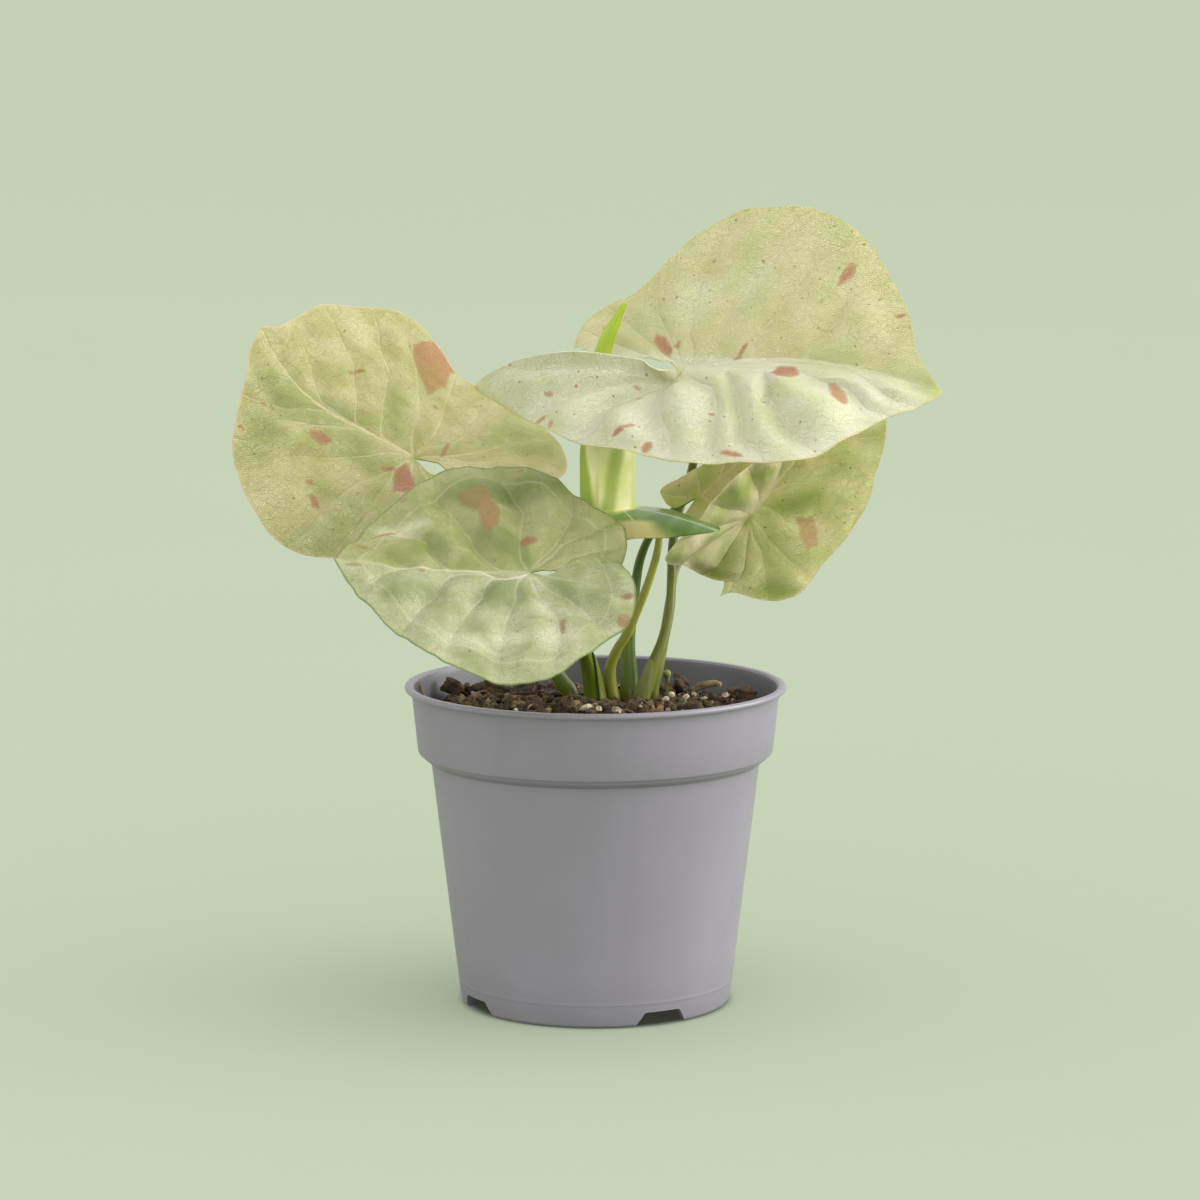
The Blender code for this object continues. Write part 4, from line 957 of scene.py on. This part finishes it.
def leaf_under(name, paints):
    """The underside: paler and duller, with raised veins."""
    body, vein, blush = (paint(*hue) for hue in paints)
    made = Material(name)
    netting, cloud, _, streaks, height = made.tissue(1.0, 8.0, 0.2)
    colour = made.blend(made.fade(cloud, 0.38, 0.66), body, blush)
    colour = made.blend(made.times(netting, 0.12), colour, vein)
    raised = made.fade(made.calc("ABSOLUTE", made.read("vein")), 0.35, 1.1, 0.85, 0.0)
    return made.coat(made.blend(raised, colour, vein), made.fade(streaks, 0.3, 0.7, 0.48, 0.62),
                     (0.5, 0.0003, made.plus(made.times(height, 0.4), raised)), UNDER_SKIN)


# The young leaf

def build_young():
    """One sheet rolled around the tube's line, flared at the foot into the collar."""
    piece, u, v = net("leaf_young_piece", *ROLL_MESH)
    line = catmull(ROLL_LINE, 200)
    tube_part = np.clip((v - COLLAR_SHARE) / (1 - COLLAR_SHARE), 0, 1)
    skirt = np.clip(1 - v / COLLAR_SHARE, 0, 1)
    x, y, z, wide = (np.interp(tube_part, np.linspace(0, 1, len(line)), line[:, k]) for k in range(4))
    full = 360 * ROLL_TURNS
    slim, broad = ROLL_WIDTHS
    span = ROLL_SLIM_SPAN + (full - ROLL_SLIM_SPAN) * np.clip((wide - slim) / (broad - slim), 0, 1)
    angle = ROLL_START + span * u
    turn_share = (angle - ROLL_START) / full
    # The slim spike turns its seam to the back
    angle = angle + SPIKE_TWIST * smooth_step(SPIKE_FROM, SPIKE_TO, z)
    radius = wide * (1 - ROLL_TIGHTEN * turn_share * np.clip((wide - 4.0) / 4, 0, 1))
    turn = np.radians(angle)
    around = np.stack([np.cos(turn), np.sin(turn), 0 * angle], -1)
    flare = smooth_at(COLLAR_REACH, angle)
    reach = flare[:, 0] * skirt
    points = np.stack([x, y, z], -1) + around * radius[:, None] + around * reach[:, None]
    points[:, 2] -= flare[:, 1] * (skirt + skirt ** 2) / 2
    points[:, 2] += 0.35 * np.sin(turn * 9) * skirt * np.clip(reach / 12, 0, 1)
    store(piece, flat=np.stack([angle / 6, z - reach, 0 * z], -1), turn=angle, height=z, flare=reach,
          skirt=skirt, vein=np.sin(turn * 6) * 1.5)
    place_points(piece, points)
    edit(piece, face_out)
    # A face half way up the roll says whether the sheet faces away from the tube's axis
    half_way = Vector(positions(piece)[int(np.argmin(np.abs(v - 0.6) + np.abs(u - 0.5)))])
    face = min(piece.data.polygons, key=lambda polygon: (polygon.center - half_way).length)
    axis = Vector((*(FRAME_SHIFT[:2] + np.array(ROLL_LINE[0][:2]) * MM), face.center.z))
    if face.normal.dot(face.center - axis) < 0:
        edit(piece, bpy.ops.mesh.flip_normals)
    thicken(piece, young_outside(), young_inside())
    finish(piece, "leaf_young_blade", "leaf_young", ())


def young_outside():
    """Outside of the roll and upper face of its collar: cream and green bands, dark glossy lobe."""
    made = Material("young_outside")
    fade, blend, times, plus, read = made.fade, made.blend, made.times, made.plus, made.read
    _, cloud, _, _, relief = made.tissue(0.8, 9.0, 0.15)
    turn, height, flare = read("turn"), read("height"), read("flare")
    colour = blend(fade(cloud, 0.4, 0.65), paint(236, 234, 176), paint(222, 224, 146))
    across = plus(turn, times(made.calc("SUBTRACT", cloud, 0.5), 14.0))
    for low, high, fall, strength in ROLL_BANDS:
        here = plus(across, times(made.calc("SUBTRACT", height, BAND_HEIGHT), fall))
        inside = times(fade(here, low - 12, low + 4), fade(here, high - 4, high + 12, 1.0, 0.0))
        colour = blend(times(inside, strength), colour, paint(150, 172, 58))
    colour = blend(fade(height, 178.0, 192.0), colour, blend(cloud, paint(168, 190, 52),
                                                             paint(150, 172, 40)))
    deep = blend(fade(cloud, 0.40, 0.62), paint(80, 114, 42), paint(118, 148, 76))
    # Pale vein lines on the lobe: partly veins, partly painted highlight streaks
    veins = fade(made.calc("ABSOLUTE", read("vein")), 0.0, 0.3, 0.4, 0.0)
    deep = blend(veins, deep, paint(214, 222, 186))
    # Near the tube's front the collar turns its cream outer face up
    cream = times(fade(read("skirt"), 0.42, 0.6), fade(across, -58.0, -44.0, 1.0, 0.0))
    deep = blend(cream, deep, paint(186, 176, 120))
    return made.coat(blend(fade(flare, 0.5, 3.5), colour, deep), fade(flare, 0.5, 4.0, 0.45, 0.2),
                     (0.3, 0.0002, relief), YOUNG_SKIN)


def young_inside():
    """Inside of the roll and underside of its collar: cream with a green blush."""
    made = Material("young_inside")
    _, cloud, _, _, relief = made.tissue(0.8, 9.0, 0.1)
    colour = made.blend(made.fade(cloud, 0.4, 0.65), paint(226, 216, 176), paint(208, 204, 150))
    return made.coat(colour, made.fade(cloud, 0.3, 0.7, 0.45, 0.6), (0.3, 0.0002, relief))


# Stems

def stem_route(name):
    rows = list(STEMS[name])
    if name in JOINS:
        leaf, under, lean = JOINS[name]
        turn = turn_matrix(leaf["turn"])
        away = turn @ np.array([lean, 0, 1.0])
        away = away / np.linalg.norm(away)
        top = np.array(leaf["at"]) - turn[:, 2] * under
        rows.append((*(top - away * STEM_RUN_IN), STEM_TOP_RADIUS * 1.15))
        rows.append((*top, STEM_TOP_RADIUS))
    return catmull(rows, STEM_MESH[1] + 1)


def tube(name, route, mesh, grooved=False):
    """A rounded stick along a route of (x, y, z, radius), closed at its ends."""
    piece, u, v = net(name, *mesh)
    place = np.linspace(0, 1, len(route))
    along = np.gradient(route[:, :3], axis=0)
    along = along / np.linalg.norm(along, axis=1)[:, None]
    side = np.cross(along, np.array([0.3, 1.0, 0.1]))
    side = side / np.linalg.norm(side, axis=1)[:, None]
    centre, side, other = (np.stack([np.interp(v, place, rows[:, k]) for k in range(3)], -1)
                           for rows in (route, side, np.cross(along, side)))
    turn = 2 * math.pi * u
    reach = np.interp(v, place, route[:, 3]) * np.where((v <= 0) | (v >= 1), 0.0, 1.0)
    if grooved:
        deep, broad = STEM_GROOVE
        groove = 1 - deep * np.exp(-((turn - math.pi) / broad) ** 2) * smooth_step(0.15, 0.4, v)
        reach = reach * groove * STEM_SEAT
        store(piece, along=v, height=centre[:, 2], round=u)
    place_points(piece, centre + side * (np.cos(turn) * reach)[:, None]
                 + other * (np.sin(turn) * reach)[:, None])
    edit(piece, merge_close, face_out)
    return piece


def stem_skin(name):
    """Skin of a stem or sheath: olive green with long pale streaks, darker towards the soil."""
    low, high, pale = (paint(*hue) for hue in STEM_PAINTS[name])
    made = Material(name + "_skin")
    height = made.read("height")
    long_place = made.add("CombineXYZ", {0: made.times(made.read("round"), 14.0),
                                         1: made.times(height, 0.06)}).outputs[0]
    streak = made.grain(long_place, 1.0)
    colour = made.blend(made.fade(made.read("along"), 0.15, 0.75), low, high)
    colour = made.blend(made.fade(streak, 0.5, 0.72, 0.0, 0.45), colour, pale)
    soil_line = made.fade(made.plus(height, made.times(streak, 3.0)), 95.5, 99.0, 0.7, 0.0)
    colour = made.blend(soil_line, colour, paint(104, 88, 52))
    fine = made.times(made.grain(made.place(), 1400.0, 2.0, 0.5), 0.3)
    return made.coat(colour, made.fade(streak, 0.3, 0.7, 0.34, 0.5),
                     (0.25, 0.0002, made.plus(streak, fine)), STEM_SKIN)


def build_stems():
    for name in STEMS:
        piece = tube(name + "_piece", stem_route(name), STEM_MESH, True)
        finish(piece, name, "stem", [stem_skin(name)])


def build_sheath(name, stem, start, span, top, spread):
    """The thin wing of a stem's base that wraps its neighbour, with a pointed top."""
    piece, u, v = net(name, *SHEATH_MESH)
    route = stem_route(stem)
    height = SHEATH_FOOT + (top - SHEATH_FOOT) * v
    x, y, radius = (np.interp(height, route[:, 2], route[:, k]) for k in (0, 1, 3))
    narrow = np.sqrt(np.clip(1 - v ** 2.2, 0, 1))
    turn = np.radians(start + span * ((u - 0.5) * narrow + 0.5))
    away = radius * (1.0 + spread * (1 - v) * 0.6) + 0.22 + spread * np.abs(u - 0.5) * (1 - v)
    store(piece, along=v * 0.5, height=height, round=u * 0.4)
    place_points(piece, np.stack([x + np.cos(turn) * away, y + np.sin(turn) * away, height], -1))
    edit(piece, merge_close, face_out)
    piece.data.materials.append(stem_skin(name))
    apply_modifier(piece, "SOLIDIFY", thickness=SHEATH_THICK * MM, offset=0.0)
    finish(piece, None, "stem", ())


# Pot

def outer_radius(height):
    """The pot's outer radius at a height, without the lip."""
    return float(np.interp(height, (0, STEP, COLLAR_FOOT, POT_HEIGHT),
                           (FOOT_RADIUS, STEP_RADIUS, COLLAR_FOOT_RADIUS, COLLAR_TOP_RADIUS)))


def outer(height, out=0.0, drop=0.0):
    """A point of the section on the outer wall at a height, or out and down from there."""
    return outer_radius(height) + out, height - drop


def inner(height, out=0.0, drop=0.0):
    return outer_radius(height) - WALL + out, height - drop


def arc(centre, radius, first, last, steps):
    """Points on an arc in the profile plane, angles in degrees."""
    return [(centre[0] + radius * math.cos(math.radians(a)), centre[1] + radius * math.sin(math.radians(a)))
            for a in np.linspace(first, last, steps)]


def pot_profile():
    """The wall's section, from the axis up the inside, over the lip and down the outside."""
    top, line, foot = POT_HEIGHT, MOULD_LINE, FOOT_RADIUS - FOOT_ROUND
    inside = [(0, FLOOR_TOP), (20, FLOOR_TOP), (inner(8)[0] - 1.8, FLOOR_TOP),
              (inner(8)[0] - 0.5, FLOOR_TOP + 0.5), inner(8), inner(STEP - 1.5), inner(STEP, 0.3, 0.5),
              inner(COLLAR_FOOT, -0.3, 0.9), inner(COLLAR_FOOT, 0.0, -0.3), inner(top - 2),
              inner(top, 0.3, 0.7)]
    lip = (arc(inner(top, 1.3, 0.75), 0.72, 165, 95, 5)
           + arc((RIM_RADIUS - 0.9, top - 0.9), 0.88, 85, -70, 9))
    collar = [(outer_radius(top - 2.2) + 0.25, top - RIM_BEAD - 0.1),
              (outer_radius(top - 2.6) + 0.03, top - 2.45), outer(top - 5), outer(top - 12),
              outer(COLLAR_FOOT + 1.2)]
    collar += arc((COLLAR_FOOT_RADIUS - 0.85, COLLAR_FOOT + 0.75), 0.8, 0, -60, 5)
    body = [(STEP_RADIUS + 1.0, STEP + 1.05), (STEP_RADIUS + 0.25, STEP + 0.35),
            (STEP_RADIUS, STEP - 0.5), outer(STEP - 2), outer(40), outer(20), outer(line + 1.2),
            outer(line + 0.28), outer(line, 0.06, -0.08), outer(line, 0.06, 0.08),
            outer(line - 0.28), outer(line - 1.2), outer(FOOT_ROUND + 1.0)]
    body += arc((foot, FOOT_ROUND), FOOT_ROUND, 0, -80, 7)
    under = [(FOOT_RING_INNER + 0.5, 0.0), (FOOT_RING_INNER, 0.5), (FOOT_RING_INNER, FLOOR_UNDER - 0.5),
             (FOOT_RING_INNER - 0.5, FLOOR_UNDER), (18, FLOOR_UNDER), (0, FLOOR_UNDER)]
    return inside + lip + collar + body + under


def section(name, points, fill):
    """A ring primitive with its vertices at given points in millimetres."""
    select_none()
    bpy.ops.mesh.primitive_circle_add(vertices=len(points), radius=1.0, fill_type=fill)
    piece = bpy.context.active_object
    piece.name = piece.data.name = name
    for vertex, point in zip(piece.data.vertices, points):
        vertex.co = Vector(point) * MM
    return piece


def build_pot():
    profile = pot_profile()
    pot = section("pot_piece", [(radius, 0.0, height) for radius, height in profile], "NOTHING")
    # The profile stays open along the axis, so the edge between its two ends goes
    make_active(pot)
    mode("EDIT")
    bpy.ops.mesh.select_mode(type="EDGE")
    select_in_mesh("DESELECT")
    mode("OBJECT")
    for edge in pot.data.edges:
        edge.select = set(edge.vertices) == {0, len(profile) - 1}
    mode("EDIT")
    bpy.ops.mesh.delete(type="EDGE_FACE")
    bpy.ops.mesh.select_mode(type="VERT")
    select_in_mesh()
    bpy.ops.mesh.spin(steps=POT_STEPS, angle=2 * math.pi, center=(0, 0, 0), axis=(0, 0, 1))
    select_in_mesh()
    bpy.ops.mesh.remove_doubles(threshold=0.01 * MM)
    bpy.ops.mesh.dissolve_degenerate()
    face_out()
    mode("OBJECT")
    turns = [NOTCH_TURN + k * 360 / NOTCH_COUNT for k in range(NOTCH_COUNT)]
    cutters = [cutter(turn) for turn in turns for cutter in (notch_cutter, drain_cutter)]
    for cutter in cutters:
        apply_modifier(pot, "BOOLEAN", operation="DIFFERENCE", solver="EXACT", object=cutter)
        bpy.data.objects.remove(cutter)
    points = positions(pot) / MM
    store(pot, inside=[float(math.hypot(x, y) < outer_radius(z) - 0.6 and z > 10) for x, y, z in points])
    place_points(pot, points)
    pot.data.materials.clear()
    finish(pot, "pot", "pot", [pot_plastic()], 35)
    return pot


def notch_cutter(turn):
    """A bar with sloping sides and rounded top corners, across the foot ring."""
    half, foot, back = NOTCH_TOP_WIDTH / 2, NOTCH_FOOT_WIDTH / 2, FOOT_RING_INNER - 4.0
    shape = [(-foot, -3), (foot, -3), (foot, 0)]
    shape += arc((half - 0.7, NOTCH_HEIGHT - 1.4), 1.4, 30, 90, 5)
    shape += arc((-half + 0.7, NOTCH_HEIGHT - 1.4), 1.4, 90, 150, 5) + [(-foot, 0)]
    bar = section("notch_cutter", [(back, across, up) for across, up in shape], "NGON")
    edit(bar, lambda: bpy.ops.mesh.extrude_region_move(
        TRANSFORM_OT_translate={"value": ((FOOT_RADIUS + 4.0 - back) * MM, 0, 0)}),
         select_in_mesh, face_out)
    bar.data.transform(Matrix.Rotation(math.radians(turn), 4, "Z"))
    return bar


def drain_cutter(turn):
    select_none()
    x, y = (DRAIN_RING * part(math.radians(turn)) for part in (math.cos, math.sin))
    bpy.ops.mesh.primitive_cylinder_add(vertices=48, radius=DRAIN_RADIUS * MM, depth=6.0 * MM,
                                        location=(x * MM, y * MM, (FLOOR_UNDER + 0.6) * MM))
    bpy.ops.object.transform_apply(location=True, rotation=True, scale=True)
    return bpy.context.active_object


def pot_plastic():
    """Matt grey moulded plastic: fine grain, faint vertical flow marks, painted glints on the lip,
    and painted shade on the inner wall and towards the foot.
    """
    made = Material("pot_plastic")
    fade, blend, times, place = made.fade, made.blend, made.times, made.place()
    colour = blend(fade(made.grain(place, 22.0), 0.3, 0.7), paint(133, 128, 138), paint(138, 133, 144))
    flow = made.grain(made.add("Mapping", {"Vector": place, "Scale": (90, 90, 6)}).outputs[0], 1.0)
    colour = blend(fade(flow, 0.45, 0.75, 0.0, 0.25), colour, paint(128, 123, 134))
    height = made.part(place, 2)
    # Painted glints: pale specks along the lip
    lip_glints = fade(made.grain(place, 160.0, 5.0, 0.75), 0.60, 0.74)
    near_lip = fade(height, 0.0985, 0.1005)
    colour = blend(times(times(lip_glints, near_lip), 0.45), colour, paint(196, 190, 184))
    # Painted shade: the inner wall is a darker grey than the outside
    colour = blend(made.read("inside"), colour, paint(92, 92, 97))
    # Painted shade: darker towards the foot
    colour = blend(fade(height, 0.002, 0.02, 0.22, 0.0), colour, paint(96, 95, 102))
    fine = made.grain(place, 900.0)
    rough = made.calc("SUBTRACT", fade(fine, 0.3, 0.7, 0.44, 0.54), times(near_lip, 0.16))
    return made.coat(colour, rough, (0.12, 0.0002, made.plus(fine, times(flow, 0.5))))


# Soil

def soil_height(x, y):
    """The soil's surface as in the source: a low mound with seeded lumps."""
    from_axis = np.hypot(x, y)
    base = SOIL_EDGE_HEIGHT + (SOIL_MIDDLE_HEIGHT - SOIL_EDGE_HEIGHT) * (
        1 - np.clip(from_axis / LUMP_REACH, 0, 1) ** 1.6)
    draw = random.Random(LUMP_SEED)
    lumps = np.zeros_like(x)
    for _ in range(LUMP_COUNT):
        reach = LUMP_REACH * math.sqrt(draw.random())
        turn = draw.uniform(0, 2 * math.pi)
        size = draw.uniform(*LUMP_SIZE)
        tall = draw.uniform(*LUMP_RISE)
        gap = np.hypot(x - reach * math.cos(turn), y - reach * math.sin(turn)) / size
        lumps = lumps + tall * np.clip(1 - gap ** 2, 0, None) ** 2
    lumps = np.clip(lumps, LUMP_LOW, LUMP_HIGH)
    calm = np.clip((np.hypot(x - CROWN[0], y - CROWN[1]) - CROWN_FLAT) / CROWN_FADE, 0, 1)
    near_wall = np.clip((SOIL_WALL - from_axis) / WALL_FADE, 0, 1)
    level = SOIL_MIDDLE_HEIGHT - 0.5
    return level + (base + lumps * near_wall - level) * calm


def ground(x, y):
    """The soil's height at one place."""
    return float(soil_height(np.array([x]), np.array([y]))[0])


def build_soil():
    piece, u, v = net("soil_piece", SOIL_CELLS, SOIL_CELLS)
    a, b = 2 * u - 1, 2 * v - 1
    edge = inner(SOIL_EDGE_HEIGHT)[0] - 0.3
    x = edge * a * np.sqrt(1 - b * b / 2)
    y = edge * b * np.sqrt(1 - a * a / 2)
    rough = sum(tall * ripple(x, y, size, seed) for size, seed, tall in SOIL_RIPPLES)
    crumbly = rough * np.clip((SOIL_WALL + 0.5 - np.hypot(x, y)) / 3, 0, 1) - 0.5
    place_points(piece, np.stack([x, y, soil_height(x, y) + crumbly], -1), shift=False)
    edit(piece, lambda: bpy.ops.mesh.extrude_region_move(
        TRANSFORM_OT_translate={"value": (0, 0, (SOIL_FOOT_HEIGHT - SOIL_EDGE_HEIGHT) * MM)}))
    # The extruded copy becomes the level underside, clear of the pot's wall and step
    points = positions(piece) / MM
    low = np.array([vertex.select for vertex in piece.data.vertices])
    points[low, 2] = SOIL_FOOT_HEIGHT
    points[low, :2] *= (min(inner(SOIL_FOOT_HEIGHT)[0], inner(STEP)[0]) - 0.5) / edge
    place_points(piece, points)
    edit(piece, face_out)
    finish(piece, "soil", "soil", [earth_material("earth")], 180)


def earth_material(name):
    """Soil, bark, grains or moss: two paints over a crumbly grain, with painted shade in the hollows."""
    dark, light, scale = EARTHS[name]
    made = Material(name)
    place = made.place()
    clods = made.grain(place, 260.0 * scale, 6.0, 0.7)
    fibres = made.cells(place, 700.0 * scale, dimensions="3D").outputs["Distance"]
    # Painted shade: dark blotches where hollows lie
    painted_hollow_shade = made.fade(made.grain(place, 60.0 * scale), 0.45, 0.7, 0.0, 0.6)
    colour = made.blend(made.fade(clods, 0.36, 0.66), paint(*dark), paint(*light))
    return made.coat(made.blend(painted_hollow_shade, colour, paint(38, 30, 22)), made.fade(clods, 0.3, 0.7, 0.8, 0.98),
                     (0.8, 0.0008, made.plus(clods, made.times(fibres, 0.5))))


def crumb_shape(seed, flatness, fineness):
    """One crumb: a lumpy low-resolution ball about 1 mm across, copied many times."""
    select_none()
    bpy.ops.mesh.primitive_ico_sphere_add(subdivisions=fineness, radius=0.5)
    crumb = bpy.context.active_object
    for vertex in crumb.data.vertices:
        push = (1 + 0.60 * noise.noise(vertex.co * 2.3 + Vector((seed, 0, 0)))
                + 0.30 * noise.noise(vertex.co * 6.0 + Vector((0, seed, 0))))
        vertex.co = Vector((vertex.co.x * push, vertex.co.y * push * 0.85, vertex.co.z * push * flatness))
    return crumb


def scatter(name, crumbs, spots, material):
    """Copies crumb shapes to spots of (x, y, z, size, turn, stretch) and joins them into one piece."""
    made = []
    for index, (x, y, z, size, turn, stretch) in enumerate(spots):
        copy = crumbs[index % len(crumbs)].copy()
        copy.data = copy.data.copy()
        bpy.context.scene.collection.objects.link(copy)
        copy.data.transform(Matrix.Translation(Vector(FRAME_SHIFT) + Vector((x, y, z)) * MM)
                            @ Euler(turn).to_matrix().to_4x4()
                            @ Matrix.Diagonal((size * stretch * MM, size * MM, size * MM, 1)))
        made.append(copy)
    select_none()
    for copy in made:
        copy.select_set(True)
    bpy.context.view_layer.objects.active = made[0]
    bpy.ops.object.join()
    piece = bpy.context.active_object
    piece.name = piece.data.name = name
    finish(piece, None, "soil", [material], 50)


def clear_of_stems(x, y, spare):
    return all(math.hypot(x - row[1][0], y - row[1][1]) > row[1][3] + spare for row in STEMS.values())


def draw_spots(draw, count, low, high, stretch, sink, reach):
    """Places for litter on the soil, clear of the stems and the wall."""
    found = []
    while len(found) < count:
        distance = reach * math.sqrt(draw.random())
        turn = draw.uniform(0, 2 * math.pi)
        x, y = distance * math.cos(turn), distance * math.sin(turn)
        size = draw.uniform(low, high)
        if not clear_of_stems(x, y, size * 0.5) or distance + size * stretch / 2 > LITTER_EDGE:
            continue
        spin = (draw.uniform(-0.7, 0.7), draw.uniform(-0.7, 0.7), draw.uniform(0, 6.28))
        found.append((x, y, ground(x, y) + size * sink, size, spin, draw.uniform(1.0, stretch)))
    return found


def build_litter():
    """Clods, crumbs, bark, white grains and moss on the soil."""
    draw = random.Random(CRUMB_SEED)
    shapes = {kind: [crumb_shape(*row) for row in kind] for kind in (CRUMBS, CLODS)}
    materials = {earth: earth_material(earth) for earth in ("peat_crumb", "bark_crumb", "perlite", "moss")}
    for name, (kind, earth, *spread) in LITTER.items():
        spots = draw_spots(draw, *spread) + PLACED.get(name, [])
        scatter(name, shapes[kind], spots, materials[earth])
    for shape in shapes[CRUMBS] + shapes[CLODS]:
        bpy.data.objects.remove(shape)


def build_sticks():
    """The twig, the old root on the wall, the sprout and the loose fibres on the soil."""
    skins = {name: earth_material(name) for name in ("old_root", "sprout_skin")}
    for name, (skin, route) in STICKS.items():
        piece = tube(name, catmull(route, STICK_MESH[1] + 1), STICK_MESH)
        finish(piece, None, "soil", [skins[skin]])
    draw = random.Random(FIBRE_SEED)
    for index in range(FIBRE_COUNT):
        while True:
            x, y = draw.uniform(-50, 50), draw.uniform(-46, 46)
            if math.hypot(x, y) < FIBRE_REACH and clear_of_stems(x, y, 2.5):
                break
        turn, length = draw.uniform(0, 2 * math.pi), draw.uniform(*FIBRE_LENGTH)
        z = ground(x, y) + 0.6
        rise, sway = draw.uniform(*FIBRE_RISE), draw.uniform(-2.0, 2.0)
        thick = draw.uniform(*FIBRE_RADIUS)
        dx, dy = math.cos(turn) * length / 2, math.sin(turn) * length / 2
        route = ((x - dx, y - dy, z - 0.6, thick),
                 (x - dx * 0.3 - dy * 0.02 * sway, y - dy * 0.3, z + rise, thick),
                 (x + dx * 0.4, y + dy * 0.4 + sway * 0.3, z + rise * 0.8, thick * 0.9),
                 (x + dx, y + dy, z - 0.4, thick * 0.6))
        piece = tube(f"soil_fibre_{index + 1}", catmull(route, FIBRE_MESH[1] + 1), FIBRE_MESH)
        finish(piece, None, "soil", [skins["old_root"]])


# Floor, light and camera

def build_stage():
    """A disc of paper that grows outwards by rings."""
    select_none()
    bpy.ops.mesh.primitive_circle_add(vertices=96, radius=FLOOR_START, fill_type="NGON")
    floor = bpy.context.active_object
    floor.name = "studio_floor"
    reach, height = FLOOR_START, 0.0
    for step in range(FLOOR_RINGS):
        wider = reach * RING_GROWTH
        height += (wider - reach) * math.tan(math.radians(min(FLOOR_SLOPE, step * RING_RISE)))
        mode("EDIT")
        select_in_mesh("DESELECT")
        mode("OBJECT")
        for vertex in floor.data.vertices:
            vertex.select = abs(math.hypot(vertex.co.x, vertex.co.y) - reach) < 0.001 * reach
        mode("EDIT")
        bpy.ops.mesh.extrude_edges_move()
        mode("OBJECT")
        for vertex in floor.data.vertices:
            if vertex.select:
                vertex.co = (vertex.co.x * RING_GROWTH, vertex.co.y * RING_GROWTH, height)
        reach = wider
    edit(floor, face_out)
    bpy.ops.object.shade_smooth_by_angle(angle=math.radians(60))
    made = Material("studio_paper")
    place = made.place()
    soft = made.fade(made.grain(place, 1.3, 2.0, 0.5), 0.3, 0.7)
    colour = made.blend(soft, paint(131, 140, 122), paint(132, 141, 123))
    # Painted shade: the paper turns slightly darker farther back
    colour = made.blend(made.fade(made.part(place, 1), 0.3, 6.0), colour, paint(129, 138, 120))
    # The paper lies in deep shade under the foot of the pot
    from_foot = made.vectors("DISTANCE", place, {1: tuple(FRAME_SHIFT)})["Value"]
    under = made.fade(from_foot, (FOOT_RADIUS - 4.0) * MM, (FOOT_RADIUS + 2.5) * MM, 0.86, 0.0)
    colour = made.blend(under, colour, paint(20, 22, 18))
    floor.data.materials.append(made.coat(colour, 1.0, specular=0.0))
    return floor


def build_light(floor, pot):
    scene = bpy.context.scene
    # Some lights only model the plant; two wash the floor, one of them shaded by the pot alone
    groups = {}
    for label, piece, state in (("plant", floor, "EXCLUDE"), ("floor", floor, "INCLUDE"),
                                ("open", floor, "INCLUDE"), ("shade", pot, "INCLUDE")):
        groups[label] = bpy.data.collections.new("studio_" + label)
        groups[label].objects.link(piece)
        groups[label].collection_objects[0].light_linking.link_state = state
    scene.world = bpy.data.worlds.new("studio_light")
    scene.world.use_nodes = True
    sky = scene.world.node_tree.nodes["Background"].inputs
    sky["Color"].default_value = (1.0, 1.0, 1.0, 1.0)
    sky["Strength"].default_value = SKY_STRENGTH
    for name, azimuth, elevation, spread, strength, lit in SOFT_LIGHTS:
        turn, lift = math.radians(azimuth), math.radians(elevation)
        towards = Vector((math.cos(turn) * math.cos(lift), math.sin(turn) * math.cos(lift),
                          math.sin(lift)))
        select_none()
        bpy.ops.object.light_add(type="SUN", location=towards)
        sun = bpy.context.active_object
        sun.name = name
        sun.rotation_euler = towards.to_track_quat("Z", "Y").to_euler()
        sun.data.energy = strength
        sun.data.angle = math.radians(spread)
        sun.data.color = (1.0, 0.99, 0.97)
        sun.data.use_shadow = lit != "open"
        if lit in groups:
            sun.light_linking.receiver_collection = groups[lit]
        if lit == "floor":
            sun.light_linking.blocker_collection = groups["shade"]
    scene.view_settings.view_transform = "Standard"


def build_camera():
    select_none()
    bpy.ops.object.camera_add(location=Vector(CAMERA_PLACE) * MM + Vector(FRAME_SHIFT),
                              rotation=(math.pi / 2 - CAMERA_DOWN, 0, 0))
    camera = bpy.context.active_object
    camera.name = "photo_camera"
    camera.data.lens = LENS
    camera.data.sensor_width = SENSOR
    camera.data.clip_start = 0.05
    camera.data.clip_end = 200.0
    bpy.context.scene.camera = camera


build_camera()
studio_floor = build_stage()
for one_leaf in (LARGE, LEFT, FRONT, RIGHT, SMALL):
    build_leaf(one_leaf)
build_young()
build_stems()
build_light(studio_floor, build_pot())
build_soil()
build_litter()
build_sticks()
for sheath, sizes in SHEATHS.items():
    build_sheath(sheath, *sizes)
